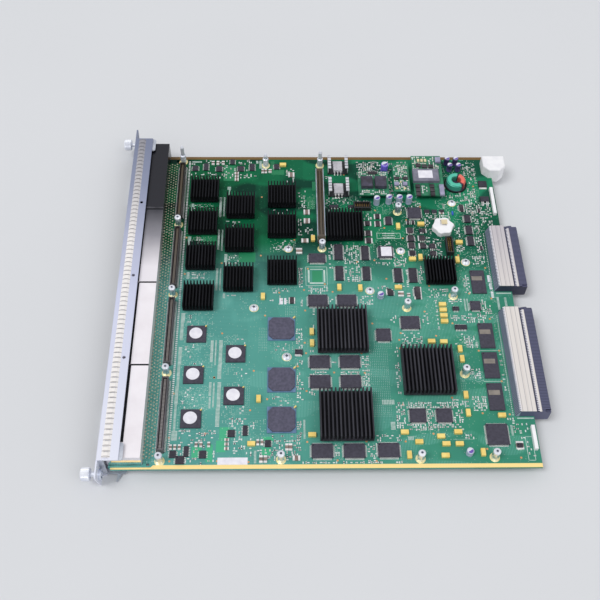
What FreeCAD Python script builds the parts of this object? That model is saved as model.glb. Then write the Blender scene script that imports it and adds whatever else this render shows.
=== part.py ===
import FreeCAD, Part
import math
import os

V = FreeCAD.Vector

# Sizes are in millimetres. Inside this file X runs from the board's front edge to its rear,
# Y across the board and Z up from the board's top face. save() moves the pieces to the
# part's own origin, which is the middle of the underside of the whole card.

# ports, from which the card's width follows
BLOCK_COUNT = 4
PORT_COLUMNS = 6
PORT_PITCH = 13.97
BLOCK_MARGIN = 4.28
BLOCK_PITCH = PORT_COLUMNS * PORT_PITCH + BLOCK_MARGIN
BLOCK_GAP = 1.2
PORT_WIDTH = PORT_PITCH - 2.27
PORT_HEIGHT = 6.6
LATCH_WIDTH = 5.6
LATCH_HEIGHT = 1.6
PORT_DEPTH = 14.0
PORT_ROW_BASE = -7.8
PORT_ROW_PITCH = 11.8
BLOCK_TOP = 14.1
BLOCK_BOTTOM = -9.2
BLOCK_REAR = 27.8
TAIL_REAR = BLOCK_REAR + 9.2
TAIL_INSET = 7.0
SHIELD_SHEET = 0.4
WINDOW_CLEARANCE = 0.35

# faceplate
PLATE_MARGIN = 3.2
PLATE_LENGTH = BLOCK_COUNT * BLOCK_PITCH + 2 * PLATE_MARGIN
PLATE_SHIFT = 4.6
PLATE_THICKNESS = 1.2
PLATE_FRONT = -7.1
PLATE_BOTTOM = -12.4
PLATE_HEIGHT = 30.5
FLANGE_REAR = 11.0
LIP_REAR = PLATE_FRONT + 5.0
BEND_RADIUS = 1.6
FLANGE_HOLE_X = FLANGE_REAR - 4.4
FLANGE_HOLE_SHIFT = 5.0
FLANGE_HOLE_RADIUS = 1.5

# board
BOARD_LENGTH = 360.0
BOARD_INSET = 4.4
BOARD_WIDTH = PLATE_LENGTH - 2 * BOARD_INSET
BOARD_THICKNESS = 2.4
BOARD_CORNER = 2.0
CORNER_HOLE_RADIUS = 1.4
STRIP_WIDTH = 3.6
STRIP_NARROW = 1.6
STRIP_STEP = 35.0
STRIP_THICKNESS = 0.15

# The places of parts on the board are read on a drawing of this length and width.
DRAWING = (360.0, 350.0)
ALONG = BOARD_LENGTH / DRAWING[0]
ACROSS = BOARD_WIDTH / DRAWING[1]


def spread(places):
    """Places from the drawing, fitted to the board; what follows x and y in each is kept."""
    return [(p[0] * ALONG, p[1] * ACROSS) + tuple(p[2:]) for p in places]


def spread_across(ranges):
    """Ranges across the board from the drawing, fitted to its width."""
    return [(low * ACROSS, high * ACROSS) for low, high in ranges]


CORNER_HOLES = spread([(32.5, -170.6), (36.0, 169.0)])

# spring finger strip on the flange
GASKET_FRONT = PLATE_FRONT + 4.3
GASKET_REAR = FLANGE_REAR - 6.9
GASKET_RISE = 1.1
GASKET_SHEET = 0.25
FINGER_PITCH = 4.9
SLIT_WIDTH = 0.5
SLIT_END_GAP = 1.6

# ejector levers
PIVOT_X = FLANGE_REAR - 2.0
PIVOT_Y = PLATE_LENGTH / 2 - 14.4
PIVOT_RADIUS = 2.0
PIVOT_HEAD_RADIUS = 3.0
PIVOT_HEAD = 0.5
LEVER_SHEET = 1.2
LEVER_GAP = 0.2
LEVER_BOSS = 6.0
RUNNING_CLEARANCE = 0.05
HANDLE_LENGTH = 52.0
HANDLE_END_Y = PIVOT_Y - HANDLE_LENGTH
HANDLE_WIDTH = 3.8
HANDLE_GAP = 0.6
GRIP_HEIGHT = 3.8
CLAW_REACH = 20.3
CLAW_TIP = (PIVOT_X - 2.6, PIVOT_Y + CLAW_REACH)
BRACKET_SHEET = 1.0
BRACKET_REAR = PIVOT_X + 5.2
BRACKET_INNER = PIVOT_Y - 1.5
BRACKET_LEG_REAR = PLATE_FRONT + 5.8
BRACKET_CLEARANCE = 0.2
LEVER_NOTCH = PIVOT_Y - 19.0

# captive screws and the ears round them
SCREW_OUT = 5.4
SCREW_Y = PLATE_LENGTH / 2 + SCREW_OUT
EAR_TIP = SCREW_Y + 9.3
EAR_TAPER = 5.5
EAR_TAPER_START = 12.0
KNOB_RADIUS = 5.7
KNOB_LENGTH = 7.6
KNOB_REACH = 13.7
KNOB_FRONT = PLATE_FRONT - KNOB_REACH
KNURLS = 24
SHANK_RADIUS = 2.1
GROOVE_RADIUS = 1.6
BUSHING_RADIUS = 4.5
BUSHING_FLANGE = BUSHING_RADIUS + 0.7
BUSHING_STEP = 0.5
BUSHING_LIP = 1.0
BUSHING_DEPTH = 3.9
COUNTERBORE_RADIUS = SHANK_RADIUS + 1.0
RING_RADIUS = SHANK_RADIUS + 0.6
RING_SHEET = 0.7
RING_GAP = 0.1
SCREW_TIP = 1.5

# stacking connector
STACK_WIDTH = 7.8
STACK_FRONT = 178.0 * ALONG
STACK_X = (STACK_FRONT, STACK_FRONT + STACK_WIDTH)
STACK_Y = spread_across([(60.0, 149.0)])[0]
STACK_HEIGHT = 12.0

# heatsinks: size along X, size along Y, fin sheet, and their fins
SMALL_SINK = (28.0, 28.6, 1.1)
SMALL_SINK_FINS = 10
WIDE_SINK = (35.2, 35.0, 1.2)
WIDE_SINK_FINS = 12
LARGE_SINK = (45.3, 46.5, 1.3)
LARGE_SINK_FINS = 14
SINK_BASE = 1.8
SMALL_SINK_TOP = 10.3
LARGE_SINK_TOP = 12.0
SMALL_SEAT = 2.2
LARGE_SEAT = 3.2
WIDE_CHIP_SIZE = 27.0
LARGE_CHIP_SIZE = 35.0
WIDE_SINK_GAP = 1.8

SMALL_SINK_PLACES = spread([
    (66.3, 126.0), (66.3, 84.2), (66.3, 41.4), (66.3, -5.0), (102.7, 104.5), (102.7, 62.8),
    (102.7, 16.0), (143.7, 118.5), (143.7, 79.8), (143.7, 23.8), (293.5, 23.8)])
WIDE_SINK_PLACES = [(STACK_X[1] + WIDE_SINK_GAP + WIDE_SINK[0] / 2, 79.8 * ACROSS)]
LARGE_SINK_PLACES = spread([(198.0, -42.5), (198.0, -128.6), (271.7, -85.3)])

# mezzanine connectors and the posts between them
MEZZANINE_COUNT = 4
MEZZANINE_X = 42.0 * ALONG
MEZZANINE_PITCH = 84.0 * ACROSS
MEZZANINE_LENGTH = MEZZANINE_PITCH - 14.0
MEZZANINE_WIDTH = 5.9
MEZZANINE_HEIGHT = 7.0
MEZZANINE_WALL = 1.1
MEZZANINE_FLOOR = 2.0
POST_HEIGHT = 10.2
POST_FLATS = 5.5
HEAD_HEIGHT = 2.5
HEAD_RADIUS = 3.1
POST_PLACES = spread([
    (142.5, -167.0), (258.6, -167.0), (320.8, -166.0), (305.0, -86.0), (303.8, -2.4),
    (259.2, -15.6), (259.0, 100.0), (182.4, 54.0)])
GUIDE_POST_PLACES = spread([(42.0, 168.0, 23.5), (183.0, 163.0, 21.5), (127.0, 163.0, 17.0)])
SCREW_PLACES = spread([
    (149.8, 53.8), (117.6, -15.2), (147.7, -67.9), (226.1, 4.0), (320.2, 37.3), (258.6, 51.1),
    (314.8, 111.7)])

# chips as (x, y, size along X, size along Y)
PHY_SIZE = 17.5
PHY_PLACES = spread([(66.2, -44.0), (65.7, -86.4), (65.7, -129.3), (102.1, -64.9), (101.6, -107.3)])
SWITCH_SIZE = 25.0
SWITCH_RIM = 0.9
SWITCH_PLACES = spread([(143.0, -38.3), (143.0, -91.4), (143.0, -130.4)])
MEMORY_SIZE = (17.9, 12.8)
MEMORY_PLACES = spread([
    (176.9, -7.8), (203.8, -7.8), (176.9, -73.7), (203.8, -73.7), (176.9, -93.9), (203.8, -93.9),
    (176.9, -159.9), (203.8, -159.9), (232.5, -159.5)])
REAR_MEMORY_SIZE = (13.4, 26.4)
REAR_MEMORY_PLACES = spread([(329.2, 13.5), (329.2, -46.6), (329.2, -77.6), (329.2, -109.3)])
FLAT_PACKS = spread([
    (235.5, -45.6, 13.0, 13.0), (260.9, -32.4, 17.0, 13.6), (275.7, 98.1, 13.2, 13.6),
    (325.7, -145.5, 18.4, 19.4), (323.2, -13.9, 9.5, 9.8), (243.7, 49.1, 14.0, 14.0),
    (177.2, 41.7, 16.0, 10.5), (259.7, -127.4, 14.0, 13.0), (282.4, -127.4, 13.5, 13.0)])
OUTLINE_CHIPS = spread([
    (198.1, 49.0, 8.0, 18.6), (198.1, 23.8, 7.5, 16.5), (223.8, 48.0, 7.0, 16.9),
    (223.8, 23.5, 7.0, 16.0), (253.8, 21.3, 7.2, 16.5), (267.9, 21.3, 7.5, 16.5),
    (249.2, 88.2, 6.0, 10.3), (270.4, 1.8, 5.5, 9.6), (328.0, 90.7, 6.0, 9.3),
    (328.0, 76.4, 6.0, 10.6), (328.0, 62.7, 6.0, 11.2), (307.0, -37.4, 11.0, 4.6),
    (269.7, 75.9, 6.0, 5.6), (269.7, 65.6, 6.0, 6.4), (269.7, 56.7, 6.0, 6.0),
    (269.7, 47.9, 6.0, 5.3), (281.2, 75.9, 5.0, 4.0), (280.7, 66.2, 6.0, 5.3),
    (281.2, 56.4, 5.0, 5.6), (289.7, 56.0, 6.0, 4.8), (289.7, 47.4, 6.0, 4.8),
    (323.6, 104.9, 4.0, 7.7), (245.3, 1.0, 5.0, 5.9), (304.6, -17.0, 6.0, 4.0),
    (343.1, -155.9, 5.0, 4.3), (58.7, -167.3, 7.0, 7.0), (158.5, -63.5, 7.0, 5.1)])
PACK_HEIGHT = 2.0
OUTLINE_HEIGHT = 1.8
REAR_MEMORY_HEIGHT = 1.6
TANTALUM_SIZE = (6.6, 3.8, 2.6)
TANTALUM_ALONG_X = spread([
    (144.8, 162.9), (168.8, -145.0), (292.6, -12.4), (292.6, -18.6), (292.6, -24.8), (292.6, -31.0),
    (278.6, -52.7), (289.6, -53.2), (332.0, -127.5), (247.2, -143.0), (258.7, -152.0),
    (277.6, -147.0), (292.6, -143.0), (281.4, -154.0), (292.6, -154.0), (279.6, -164.6),
    (316.5, 61.0), (281.1, 84.0), (269.1, 40.6), (253.0, 7.3), (117.6, -153.0)])
TANTALUM_ALONG_Y = spread([
    (197.4, 7.2), (217.1, 6.5), (173.9, 65.8), (125.8, -2.9), (170.5, -42.0), (170.5, -54.2),
    (123.1, -110.6), (303.5, -60.8), (304.2, -71.2), (303.3, -107.6), (303.3, -125.0),
    (249.5, -163.9), (311.5, -161.9), (312.4, 39.5), (258.3, 81.1), (277.0, 42.5)])

# round capacitors as (x, y, radius, height)
CANS = spread([
    (238.7, 111.2, 3.1, 10.0), (251.0, 112.6, 3.1, 10.0), (261.4, 112.6, 3.1, 10.0),
    (271.3, 112.6, 3.1, 10.0), (248.8, 153.5, 3.6, 13.0), (300.1, -162.4, 3.1, 6.0),
    (235.6, -3.0, 3.1, 6.0)])
DARK_CANS = spread([
    (314.7, 165.3, 2.8, 9.0), (323.6, 165.3, 2.8, 9.0), (316.7, 156.6, 2.8, 9.0), (325.6, 156.6, 2.8, 9.0)])

# raised converter boards as (x, y, size along X, size along Y), and what stands on them
CONVERTER_HEIGHT = 5.0
CONVERTER_SHEET = 1.6
CONVERTERS = spread([(236.4, 133.0, 31.0, 32.0), (265.4, 141.0, 16.5, 38.0), (292.7, 143.6, 30.5, 54.0)])
CONVERTER_PIN = 1.6
CONVERTER_PIN_INSET = 2.0
INDUCTORS = spread([(229.5, 132.0, 11.5, 13.5), (243.5, 132.0, 11.5, 13.5)])
INDUCTOR_HEIGHT = 5.2
TRANSFORMER = spread([(290.3, 141.3, 26.6, 16.6)])[0]
TRANSFORMER_HEIGHT = 4.2
TOROID = spread([(321.2, 136.8)])[0]
TOROID_RADIUS = 9.6
TOROID_HOLE = 4.4
TOROID_HEIGHT = 8.0
WINDING = 0.9

# regulators with comb heatsinks
REGULATORS = spread([(201.2, 159.5), (201.2, 129.0)])
REGULATOR_WIDTH = 9.6
COMB_WIDTH = 20.6
COMB_DEPTH = 18.0
COMB_HEIGHT = 10.0
COMB_FOOT = 3.2
COMB_SHEET = 0.8
COMB_RIBS = 5

# rear connectors, which overhang the board's rear edge
BACKPLANE_RANGES = spread_across([(3.0, 75.2), (-128.0, -20.5)])
BACKPLANE_OVERHANG = 13.0
BACKPLANE_REAR = BOARD_LENGTH + BACKPLANE_OVERHANG
BACKPLANE_FRONT = BOARD_LENGTH - 16.4
BACKPLANE_TOP = 9.0
BACKPLANE_BOTTOM = -5.5
BACKPLANE_PLATE = 0.6
BACKPLANE_STEP = 1.2
EDGE_CLEARANCE = 0.2
SHIELD_FRONT = BACKPLANE_FRONT + 3.4
SHIELD_GROOVE = 0.5
RAIL_WIDTH = 2.0
RAIL_DROP = 0.5
RAIL_RISE = 0.3
SLOT_DEPTH = 8.0
SLOT_LOW = -1.8
SLOT_HIGH = 6.2
SLOT_END = 4.0
GUIDE_WIDTH = 20.0
GUIDE_CENTRE = BOARD_WIDTH / 2 - 19.0
GUIDE_X = (BOARD_LENGTH - 10.0, BACKPLANE_REAR - 0.5)
GUIDE_Y = (GUIDE_CENTRE - GUIDE_WIDTH / 2, GUIDE_CENTRE + GUIDE_WIDTH / 2)
GUIDE_TOP = 12.0
GUIDE_CUT = 6.0
GUIDE_BORE = (GUIDE_CENTRE, 4.4, 4.0)
GUIDE_BORE_DEPTH = 15.0
HOLDER = spread([(302.1, 78.6)])[0]
HOLDER_RADIUS = 10.6
HOLDER_HEIGHT = 6.0
HEADERS = spread([(306.1, 55.1, 6.9, 19.6, 6.0), (223.9, 106.0, 17.0, 8.4, 5.0)])
HEADER_WALL = 1.2
BUMPERS = spread_across([(96.0, 130.0), (-160.0, -138.0)])
BUMPER_X = (BOARD_LENGTH - 5.1, BOARD_LENGTH - 2.1)
BUMPER_HEIGHT = 4.0

# frame of the whole card
X_MIDDLE = (KNOB_FRONT + BACKPLANE_REAR) / 2
PLATE_REAR = PLATE_FRONT + PLATE_THICKNESS
PLATE_TOP = PLATE_BOTTOM + PLATE_HEIGHT
FLANGE_UNDER = PLATE_TOP - PLATE_THICKNESS
SCREW_Z = PLATE_BOTTOM + PLATE_HEIGHT / 2
LEG_TOP = BLOCK_BOTTOM - BRACKET_CLEARANCE
LEG_LOW = LEG_TOP - BRACKET_SHEET
LEVER_TOP = LEG_LOW - LEVER_GAP
LEVER_LOW = LEVER_TOP - LEVER_SHEET
HANDLE_REAR = PLATE_FRONT - HANDLE_GAP
HANDLE_FRONT = HANDLE_REAR - HANDLE_WIDTH
HOUSING_BOTTOM = BLOCK_BOTTOM + SHIELD_SHEET
NOTCH_EDGE = PLATE_SHIFT - BLOCK_COUNT * BLOCK_PITCH / 2 + BLOCK_GAP / 2 - 0.3
NOTCH_REAR = BLOCK_REAR + 0.3
BLOCK_WIDTH = BLOCK_PITCH - BLOCK_GAP
HOUSING_TOP = BLOCK_TOP - SHIELD_SHEET
HOUSING_WIDTH = BLOCK_WIDTH - 2 * SHIELD_SHEET
KNOB_REAR = KNOB_FRONT + KNOB_LENGTH
BUSHING_FRONT = PLATE_FRONT - BUSHING_STEP
BUSHING_REAR = BUSHING_FRONT + BUSHING_DEPTH
RING_FRONT = BUSHING_FRONT + BUSHING_LIP + 2 * RING_GAP
RING_REAR = RING_FRONT + RING_SHEET


def save(name, solids):
    shape = Part.makeCompound(solids) if len(solids) > 1 else solids[0]
    shape = shape.copy()
    shape.translate(V(-X_MIDDLE, -PLATE_SHIFT, -PLATE_BOTTOM))
    shape.exportStep("parts/" + name + ".step")


def block(x, y, low, width, depth, height):
    return Part.makeBox(width, depth, height, V(x - width / 2, y - depth / 2, low))


def span(x_range, y_range, z_range):
    size = [r[1] - r[0] for r in (x_range, y_range, z_range)]
    return Part.makeBox(size[0], size[1], size[2], V(x_range[0], y_range[0], z_range[0]))


def post(x, y, low, radius, height):
    return Part.makeCylinder(radius, height, V(x, y, low))


def side_profile(points, y_start, length):
    ring = [V(x, y_start, z) for x, z in points]
    return Part.Face(Part.makePolygon(ring + ring[:1])).extrude(V(0, length, 0))


def plan_profile(points, low, height):
    ring = [V(x, y, low) for x, y in points]
    return Part.Face(Part.makePolygon(ring + ring[:1])).extrude(V(0, 0, height))


def turned_up(x, y, points):
    ring = [V(x + r, y, z) for r, z in points]
    return Part.Face(Part.makePolygon(ring + ring[:1])).revolve(V(x, y, 0), V(0, 0, 1), 360)


def turned_along(y, z, points):
    ring = [V(x, y, z + r) for x, r in points]
    return Part.Face(Part.makePolygon(ring + ring[:1])).revolve(V(0, y, z), V(1, 0, 0), 360)


def at_panel(shape, side=1):
    placed = shape.copy() if side > 0 else shape.mirror(V(0, 0, 0), V(0, 1, 0))
    placed.translate(V(0, PLATE_SHIFT, 0))
    return placed


def chamfered_top(shape, size):
    top = shape.BoundBox.ZMax
    edges = [e for e in shape.Edges if abs(e.BoundBox.ZMin - top) < 1e-6]
    return shape.makeChamfer(size, edges)


def circuit_board():
    half = BOARD_WIDTH / 2
    cut = BOARD_CORNER
    outline = [(cut, -half), (BOARD_LENGTH, -half), (BOARD_LENGTH, half), (NOTCH_REAR, half),
               (NOTCH_REAR, NOTCH_EDGE), (0, NOTCH_EDGE), (0, cut - half)]
    board = plan_profile(outline, -BOARD_THICKNESS, BOARD_THICKNESS)
    for x, y in CORNER_HOLES:
        board = board.cut(post(x, y, -5, CORNER_HOLE_RADIUS, 10))
    return [board]


def ground_strips():
    half = BOARD_WIDTH / 2
    start = BOARD_CORNER
    near = [(start, -half), (BOARD_LENGTH, -half), (BOARD_LENGTH, STRIP_WIDTH - half),
            (STRIP_STEP + 2, STRIP_WIDTH - half), (STRIP_STEP, STRIP_NARROW - half),
            (start, STRIP_NARROW - half)]
    far = [(NOTCH_REAR, half - STRIP_WIDTH), (BOARD_LENGTH, half - STRIP_WIDTH), (BOARD_LENGTH, half),
           (NOTCH_REAR, half)]
    return [plan_profile(points, 0, STRIP_THICKNESS) for points in (near, far)]


def block_centres():
    return [PLATE_SHIFT + (i - (BLOCK_COUNT - 1) / 2) * BLOCK_PITCH for i in range(BLOCK_COUNT)]


def bent_section():
    outer = [(PLATE_FRONT, PLATE_BOTTOM), (LIP_REAR, PLATE_BOTTOM),
             (LIP_REAR, PLATE_BOTTOM + PLATE_THICKNESS), (PLATE_REAR, PLATE_BOTTOM + PLATE_THICKNESS),
             (PLATE_REAR, FLANGE_UNDER), (FLANGE_REAR, FLANGE_UNDER), (FLANGE_REAR, PLATE_TOP),
             (PLATE_FRONT, PLATE_TOP)]
    sheet = side_profile(outer, -PLATE_LENGTH / 2, PLATE_LENGTH)
    bends = [e for e in sheet.Edges if e.BoundBox.YLength > PLATE_LENGTH - 1
             and abs(e.BoundBox.XMin - PLATE_FRONT) < 1e-6 and abs(e.BoundBox.XMax - PLATE_FRONT) < 1e-6]
    return sheet.makeFillet(BEND_RADIUS, bends)


def ear():
    start = PLATE_LENGTH / 2 - 3
    outline = [(start, PLATE_BOTTOM + BEND_RADIUS), (start, PLATE_TOP - BEND_RADIUS),
               (EAR_TIP - 1, PLATE_TOP - BEND_RADIUS), (EAR_TIP, PLATE_TOP - BEND_RADIUS - 1),
               (EAR_TIP, EAR_TAPER_START), (EAR_TIP - EAR_TAPER, PLATE_BOTTOM + BEND_RADIUS)]
    ring = [V(PLATE_FRONT, y, z) for y, z in outline]
    return Part.Face(Part.makePolygon(ring + ring[:1])).extrude(V(PLATE_THICKNESS, 0, 0))


def faceplate():
    plate = at_panel(bent_section())
    for side in (1, -1):
        plate = plate.fuse(at_panel(ear(), side))
    cuts = []
    for y in block_centres():
        half = HOUSING_WIDTH / 2 + WINDOW_CLEARANCE
        cuts.append(span((PLATE_FRONT - 2, PLATE_REAR + 1), (y - half, y + half),
                         (HOUSING_BOTTOM - WINDOW_CLEARANCE, HOUSING_TOP + WINDOW_CLEARANCE)))
    for i in (-1, 0, 1):
        y = PLATE_SHIFT + FLANGE_HOLE_SHIFT + i * BLOCK_PITCH
        cuts.append(post(FLANGE_HOLE_X, y, FLANGE_UNDER - 1, FLANGE_HOLE_RADIUS, 4))
    for side in (1, -1):
        hole = Part.makeCylinder(BUSHING_RADIUS, 6, V(PLATE_FRONT - 2, SCREW_Y, SCREW_Z), V(1, 0, 0))
        notch = span((PLATE_FRONT - 2, LIP_REAR + 1), (LEVER_NOTCH, PLATE_LENGTH / 2 - 1.4),
                     (PLATE_BOTTOM - 1, LEVER_TOP + 0.15))
        cuts += [at_panel(hole, side), at_panel(notch, side)]
    return [plate.cut(cuts).removeSplitter()]


def emi_gasket():
    middle = (GASKET_FRONT + GASKET_REAR) / 2
    flat = 0.8
    arch = [(GASKET_FRONT, 0), (GASKET_FRONT + flat, 0.45), (middle - 1.3, GASKET_RISE),
            (middle + 1.3, GASKET_RISE), (GASKET_REAR - flat, 0.45), (GASKET_REAR, 0)]
    under = [(x, z - GASKET_SHEET) for x, z in reversed(arch[1:-1])]
    half = (PLATE_LENGTH - 4) / 2
    strip = side_profile([(x, PLATE_TOP + z) for x, z in arch + under], -half, 2 * half)
    count = int(2 * half / FINGER_PITCH)
    slits = []
    for i in range(1, count):
        y = -half + i * 2 * half / count
        from_front = (GASKET_FRONT + SLIT_END_GAP, GASKET_REAR - 0.9)
        from_rear = (GASKET_FRONT + 0.9, GASKET_REAR - SLIT_END_GAP)
        slits.append(span(from_front if i % 2 else from_rear, (y - SLIT_WIDTH / 2, y + SLIT_WIDTH / 2),
                          (PLATE_TOP - 1, PLATE_TOP + 3)))
    return [at_panel(strip.cut(slits))]


def port_cavity(y, row):
    low = PORT_ROW_BASE + row * PORT_ROW_PITCH + (0 if row else LATCH_HEIGHT)
    front = PLATE_FRONT - 1
    depth = PORT_DEPTH + 1
    main = span((front, front + depth), (y - PORT_WIDTH / 2, y + PORT_WIDTH / 2), (low, low + PORT_HEIGHT))
    latch_low = low + PORT_HEIGHT if row else low - LATCH_HEIGHT
    latch = span((front, front + depth), (y - LATCH_WIDTH / 2, y + LATCH_WIDTH / 2),
                 (latch_low, latch_low + LATCH_HEIGHT))
    return main.fuse(latch).removeSplitter()


def block_section(front, rear, tail_rear, low, top):
    return [(front, low), (tail_rear, low), (tail_rear, -BOARD_THICKNESS), (rear, -BOARD_THICKNESS),
            (rear, top), (front, top)]


def port_housing(centre):
    section = block_section(PLATE_FRONT + 0.3, BLOCK_REAR - SHIELD_SHEET, TAIL_REAR - SHIELD_SHEET,
                            HOUSING_BOTTOM, HOUSING_TOP)
    body = side_profile(section, centre - HOUSING_WIDTH / 2, HOUSING_WIDTH)
    cavities = tail_trims(centre)
    for column in range(PORT_COLUMNS):
        y = centre + (column - (PORT_COLUMNS - 1) / 2) * PORT_PITCH
        for row in (0, 1):
            cavities.append(port_cavity(y, row))
    return [body.cut(cavities)]


def tail_trims(centre, sheet=0.0):
    trims = []
    for side in (-1, 1):
        inner = centre + side * (HOUSING_WIDTH / 2 - TAIL_INSET + sheet)
        outer = centre + side * BLOCK_PITCH
        trims.append(span((BLOCK_REAR - SHIELD_SHEET + sheet, TAIL_REAR + 1),
                          (min(inner, outer), max(inner, outer)), (BLOCK_BOTTOM - 1, 0)))
    return trims


def port_shield(centre):
    front = PLATE_REAR + 0.4
    outer = side_profile(block_section(front, BLOCK_REAR, TAIL_REAR, BLOCK_BOTTOM, BLOCK_TOP),
                         centre - BLOCK_WIDTH / 2, BLOCK_WIDTH)
    outer = outer.cut(tail_trims(centre, SHIELD_SHEET))
    inner = side_profile(block_section(front - 1, BLOCK_REAR - SHIELD_SHEET, TAIL_REAR - SHIELD_SHEET,
                                       HOUSING_BOTTOM, HOUSING_TOP),
                         centre - HOUSING_WIDTH / 2, HOUSING_WIDTH)
    return [outer.cut(inner.cut(tail_trims(centre)))]


def ejector_bracket():
    end = PLATE_LENGTH / 2 - 0.3
    leg = end - BRACKET_SHEET
    upper = span((PLATE_REAR, BRACKET_REAR), (BRACKET_INNER, end),
                 (FLANGE_UNDER - BRACKET_SHEET, FLANGE_UNDER))
    side = span((PLATE_REAR, BRACKET_LEG_REAR), (leg, end), (LEG_LOW, FLANGE_UNDER))
    lower = span((PLATE_REAR, BRACKET_REAR), (PIVOT_Y - 7, end), (LEG_LOW, LEG_TOP))
    parts = []
    for sheet, radius in ((upper, 2.0), (lower, 3.0)):
        corner = [e for e in sheet.Edges if e.BoundBox.ZLength > BRACKET_SHEET / 2
                  and abs(e.BoundBox.XMin - BRACKET_REAR) < 1e-6]
        parts.append(sheet.makeFillet(radius, corner))
    body = side.fuse(parts).removeSplitter()
    return body.cut(post(PIVOT_X, PIVOT_Y, PLATE_BOTTOM, PIVOT_RADIUS, 6))


def ejector_pin():
    head_top = PLATE_BOTTOM + PIVOT_HEAD
    return turned_up(PIVOT_X, PIVOT_Y, [
        (0, PLATE_BOTTOM), (PIVOT_HEAD_RADIUS, PLATE_BOTTOM), (PIVOT_HEAD_RADIUS, head_top),
        (PIVOT_RADIUS, head_top), (PIVOT_RADIUS, LEG_TOP), (0, LEG_TOP)])


def ejector_lever():
    tip_x, tip_y = CLAW_TIP
    x, y = PIVOT_X, PIVOT_Y
    outline = [(x + 5.6, y + 1.0), (x + 4.6, y + 5.4), (x + 2.4, y + 11.4), (x + 0.1, tip_y - 4.1),
               (tip_x + 0.7, tip_y),
               (tip_x - 0.3, tip_y), (x - 2.3, tip_y - 3.9), (x - 3.2, y + 11.4), (x - 4.4, y + 4.2),
               (PLATE_REAR, y + 3.6), (HANDLE_REAR - 1.0, y + 3.0), (HANDLE_FRONT, y - 0.4),
               (HANDLE_FRONT, HANDLE_END_Y + 1.5), (HANDLE_FRONT + 1.5, HANDLE_END_Y),
               (HANDLE_REAR, HANDLE_END_Y), (HANDLE_REAR, y - 7.0), (HANDLE_REAR + 2.4, y - 4.6),
               (x - 3, y - 5.2)]
    plate = plan_profile(outline, LEVER_LOW, LEVER_SHEET)
    plate = plate.fuse(post(x, y, LEVER_LOW, LEVER_BOSS, LEVER_SHEET))
    grip = span((HANDLE_FRONT, HANDLE_FRONT + LEVER_SHEET), (HANDLE_END_Y + 1.5, y - 14),
                (LEVER_LOW, LEVER_LOW + GRIP_HEIGHT))
    top = [e for e in grip.Edges if e.BoundBox.YLength > 1 and e.BoundBox.ZMin > LEVER_LOW + 1]
    grip = grip.makeFillet(LEVER_SHEET * 0.4, top)
    lever = plate.fuse(grip).removeSplitter()
    return lever.cut(post(x, y, LEVER_LOW - 1, PIVOT_RADIUS + RUNNING_CLEARANCE, 4))


def captive_screw():
    groove = RING_FRONT - RING_GAP
    groove_end = RING_REAR + RING_GAP
    tip = groove_end + SCREW_TIP
    turned = turned_along(SCREW_Y, SCREW_Z, [
        (KNOB_REAR - 1, 0), (KNOB_REAR - 1, SHANK_RADIUS), (groove, SHANK_RADIUS), (groove, GROOVE_RADIUS),
        (groove_end, GROOVE_RADIUS), (groove_end, SHANK_RADIUS), (tip - 0.7, SHANK_RADIUS),
        (tip, SHANK_RADIUS - 0.6), (tip, 0)])
    ring = []
    for i in range(2 * KNURLS):
        radius = KNOB_RADIUS if i % 2 else KNOB_RADIUS - 0.45
        angle = math.pi * i / KNURLS
        ring.append(V(KNOB_FRONT, SCREW_Y + radius * math.cos(angle), SCREW_Z + radius * math.sin(angle)))
    knob = Part.Face(Part.makePolygon(ring + ring[:1])).extrude(V(KNOB_LENGTH, 0, 0))
    envelope = turned_along(SCREW_Y, SCREW_Z, [
        (KNOB_FRONT, 0), (KNOB_FRONT, KNOB_RADIUS - 1.1), (KNOB_FRONT + 1.1, KNOB_RADIUS),
        (KNOB_REAR - 0.7, KNOB_RADIUS), (KNOB_REAR, KNOB_RADIUS - 0.7), (KNOB_REAR, 0)])
    slot = span((KNOB_FRONT - 1, KNOB_FRONT + 1.4), (SCREW_Y - 4.2, SCREW_Y + 4.2),
                (SCREW_Z - 0.6, SCREW_Z + 0.6))
    return knob.common(envelope).fuse(turned).cut(slot)


def screw_bushing():
    bore = SHANK_RADIUS + RUNNING_CLEARANCE
    lip = BUSHING_FRONT + BUSHING_LIP
    return turned_along(SCREW_Y, SCREW_Z, [
        (BUSHING_FRONT, bore), (BUSHING_FRONT, BUSHING_FLANGE), (PLATE_FRONT, BUSHING_FLANGE),
        (PLATE_FRONT, BUSHING_RADIUS), (BUSHING_REAR, BUSHING_RADIUS), (BUSHING_REAR, COUNTERBORE_RADIUS),
        (lip, COUNTERBORE_RADIUS), (lip, bore)])


def retaining_ring():
    bore = GROOVE_RADIUS + RUNNING_CLEARANCE
    return turned_along(SCREW_Y, SCREW_Z, [(RING_FRONT, bore), (RING_FRONT, RING_RADIUS),
                                           (RING_REAR, RING_RADIUS), (RING_REAR, bore)])


def finned(kind, fins, x, y, seat, top):
    width, depth, sheet = kind
    left = x - width / 2
    pitch = (width - sheet) / (fins - 1)
    comb = [(left, seat), (left + width, seat)]
    for i in reversed(range(fins)):
        start = left + i * pitch
        comb += [(start + sheet, seat + SINK_BASE), (start + sheet, top), (start, top),
                 (start, seat + SINK_BASE)]
    ring = []
    for point in comb:
        if not ring or abs(point[0] - ring[-1][0]) + abs(point[1] - ring[-1][1]) > 1e-6:
            ring.append(point)
    ring = [p for p in ring if not (abs(p[1] - seat - SINK_BASE) < 1e-6
                                    and (abs(p[0] - left) < 1e-6 or abs(p[0] - left - width) < 1e-6))]
    return side_profile(ring, y - depth / 2, depth)


def octagon(x, y, size, cut, low, height):
    h = size / 2
    points = [(x - h + cut, y - h), (x + h - cut, y - h), (x + h, y - h + cut), (x + h, y + h - cut),
              (x + h - cut, y + h), (x - h + cut, y + h), (x - h, y + h - cut), (x - h, y - h + cut)]
    return plan_profile(points, low, height)


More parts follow.
